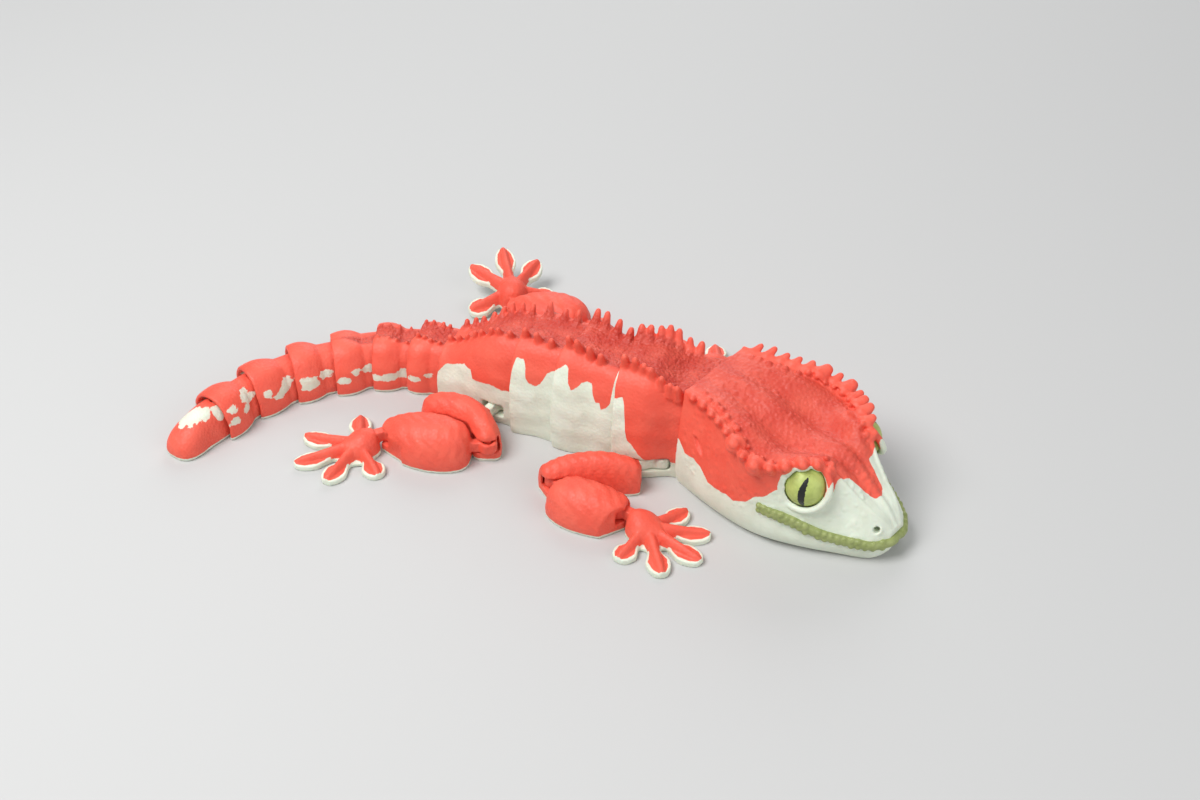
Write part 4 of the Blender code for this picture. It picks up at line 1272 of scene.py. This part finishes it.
def beside(piece, place, mirror):
    """Plan place from how far it lies behind a piece's pin and to one side."""
    back, out = place
    return piece["pin"] - back * unit(piece["heading"]) - mirror * out * unit(piece["heading"] + 90)


def legs(pieces, shells):
    """Both front and both hind legs, on the chest and the pelvis."""
    made = []
    chest, pelvis = pieces[0], pieces[3]
    for side, mirror in (("right", 1), ("left", -1)):
        places = [beside(chest, ARM[key], mirror) for key in ("shoulder", "elbow", "wrist")]
        places.append(chest["heading"] + mirror * ARM["hand"])
        paths = [[beside(chest, p, mirror) for p in ARM[key]] for key in ("upper", "lower")]
        made += leg(side, shells["chest"], ("arm_upper_", "arm_lower_", "hand_"), places, paths,
                    (UPPER_ARM, LOWER_ARM), ARM_SWINGS, HAND_TOES, 0.0)
        pose = LEG[side]
        places = [beside(pelvis, pose["hip"], mirror), Vector(pose["knee"]), Vector(pose["ankle"]),
                  pose["foot"]]
        paths = [[Vector(p) for p in pose[key]] for key in ("upper", "lower")]
        made += leg(side, shells["pelvis"], ("thigh_", "shin_", "foot_"), places, paths,
                    (UPPER_LEG, LOWER_LEG), LEG_SWINGS, FOOT_TOES, pose["tilt"])
    return made


def limb_cream(name):
    """Cream foot of a limb, and on an upper limb the tongue into the body."""
    def cream(places):
        low = BAND - places[:, 2]
        if not name.startswith(("arm_upper", "thigh")):
            return CLEAN * low
        root = TONGUE_PALE - np.hypot(places[:, 0], places[:, 1])
        return CLEAN * np.maximum(low, root)
    return cream


def foot_cream(toes, mirror, tilt):
    """Cream pads and their borders, on a foot that may be tilted."""
    slope, run = math.tan(math.radians(tilt)), math.cos(math.radians(tilt))

    def cream(places):
        x, y, z = places.T
        over = z - slope * np.maximum(x - HEEL, 0.0)
        x = HEEL + (x - HEEL) / run - PALM_AHEAD
        borders = []
        for angle, length in toes:
            ahead, across = unit(angle * mirror), unit(angle * mirror + 90)
            share = (x * ahead.x + y * ahead.y) / length
            wide = straight(PAD_SHAPE, share)
            inside = np.minimum(wide - np.abs(x * across.x + y * across.y), (1.02 - share) * length)
            borders.append(np.minimum(np.minimum(PAD_BORDER - inside, inside + 0.8), (share - 0.45) * length))
        border = np.minimum(np.max(borders, axis=0), PAD_TOP + 0.5 - over)
        return CLEAN * np.maximum(PAD_TOP - 0.2 - over, border)
    return cream


def plain(value):
    """Field of one value all over."""
    def field(places):
        return np.full(len(places), value)
    return field


def limb_relief(places, normals):
    """Wavy scale lines over a limb."""
    x, y, z = places.T
    waves = np.sin(1.7 * x + 0.9 * y + 1.3 * np.sin(0.8 * z + 0.4 * y))
    places += normals * (WAVE_DEPTH * waves * np.clip(z / 3.0, 0, 1))[:, None]


# Whole figure

def build():
    rng = random.Random(SEED)
    pieces, tip_pin, tip_half, tip_top = body_pieces()
    noses = [(p["nose"], p["nose_top"], p["nose_row"], p["swing"]) for p in pieces]
    noses.append((tip_half - WALL - CUP_GAP, tip_top - WALL - ROOF_GAP, 0.0, TIP_SWING))
    head = head_shell(noses[0])
    shells = {piece["name"]: body_shell(piece, follower, rng) for piece, follower in zip(pieces, noses[1:])}
    tip = tail_tip(tip_pin, noses[-1][0], noses[-1][1])
    limbs = legs(pieces, shells)
    coat = coat_paint("coat", 1000.0, 0.0005)
    scaled = coat_paint("head_coat", 850.0, 0.0004)
    eye_green = green_paint("eye_green", *EYE_GREENS, True)
    lip_green = green_paint("lip_green", *LIP_GREENS, False)
    dress(head, "head_shell", head_cream, head_furrow_shade, "head", scaled, voxel=FINE_VOXEL, node="head",
          relief=head_relief)
    relief_rng = random.Random(SEED + 1)
    for piece in pieces:
        name = piece["name"]
        dress(shells[name], name + "_shell", flank(name), spine_bed_shade(piece), name, coat, node=name,
              relief=body_relief(piece, relief_rng))
    dress(tip, "tail_tip_shell", tip_cream, plain(TAIL_BACK), "tail_tip", coat, node="tail_tip")
    for limb_piece in limbs:
        name = limb_piece.name.split(".")[0]
        is_foot = name.startswith(("hand", "foot"))
        cream = limb_cream(name)
        if is_foot:
            toes = HAND_TOES if name.startswith("hand") else FOOT_TOES
            mirror = 1 if name.endswith("right") else -1
            cream = foot_cream(toes, mirror, LEG["left"]["tilt"] if name == "foot_left" else 0.0)
        dress(limb_piece, name + "_shell", cream, plain(LIMB_BACK), name, coat,
              voxel=FINE_VOXEL if is_foot else BODY_VOXEL, node=name, relief=None if is_foot else limb_relief)
    dress(make_lips(), "lips", plain(0.0), plain(0.0), "head", lip_green, GREEN_VOXEL, 1)
    for side, mirror in (("right", -1), ("left", 1)):
        eye = ball("eye", mirrored(EYE_PLACE, mirror), EYE_BALL)
        dress(eye, "eyeball_" + side, pupil, plain(0.0), "head", eye_green,
              GREEN_VOXEL, 1, "eye_" + side)


make_camera()
make_studio()
build()
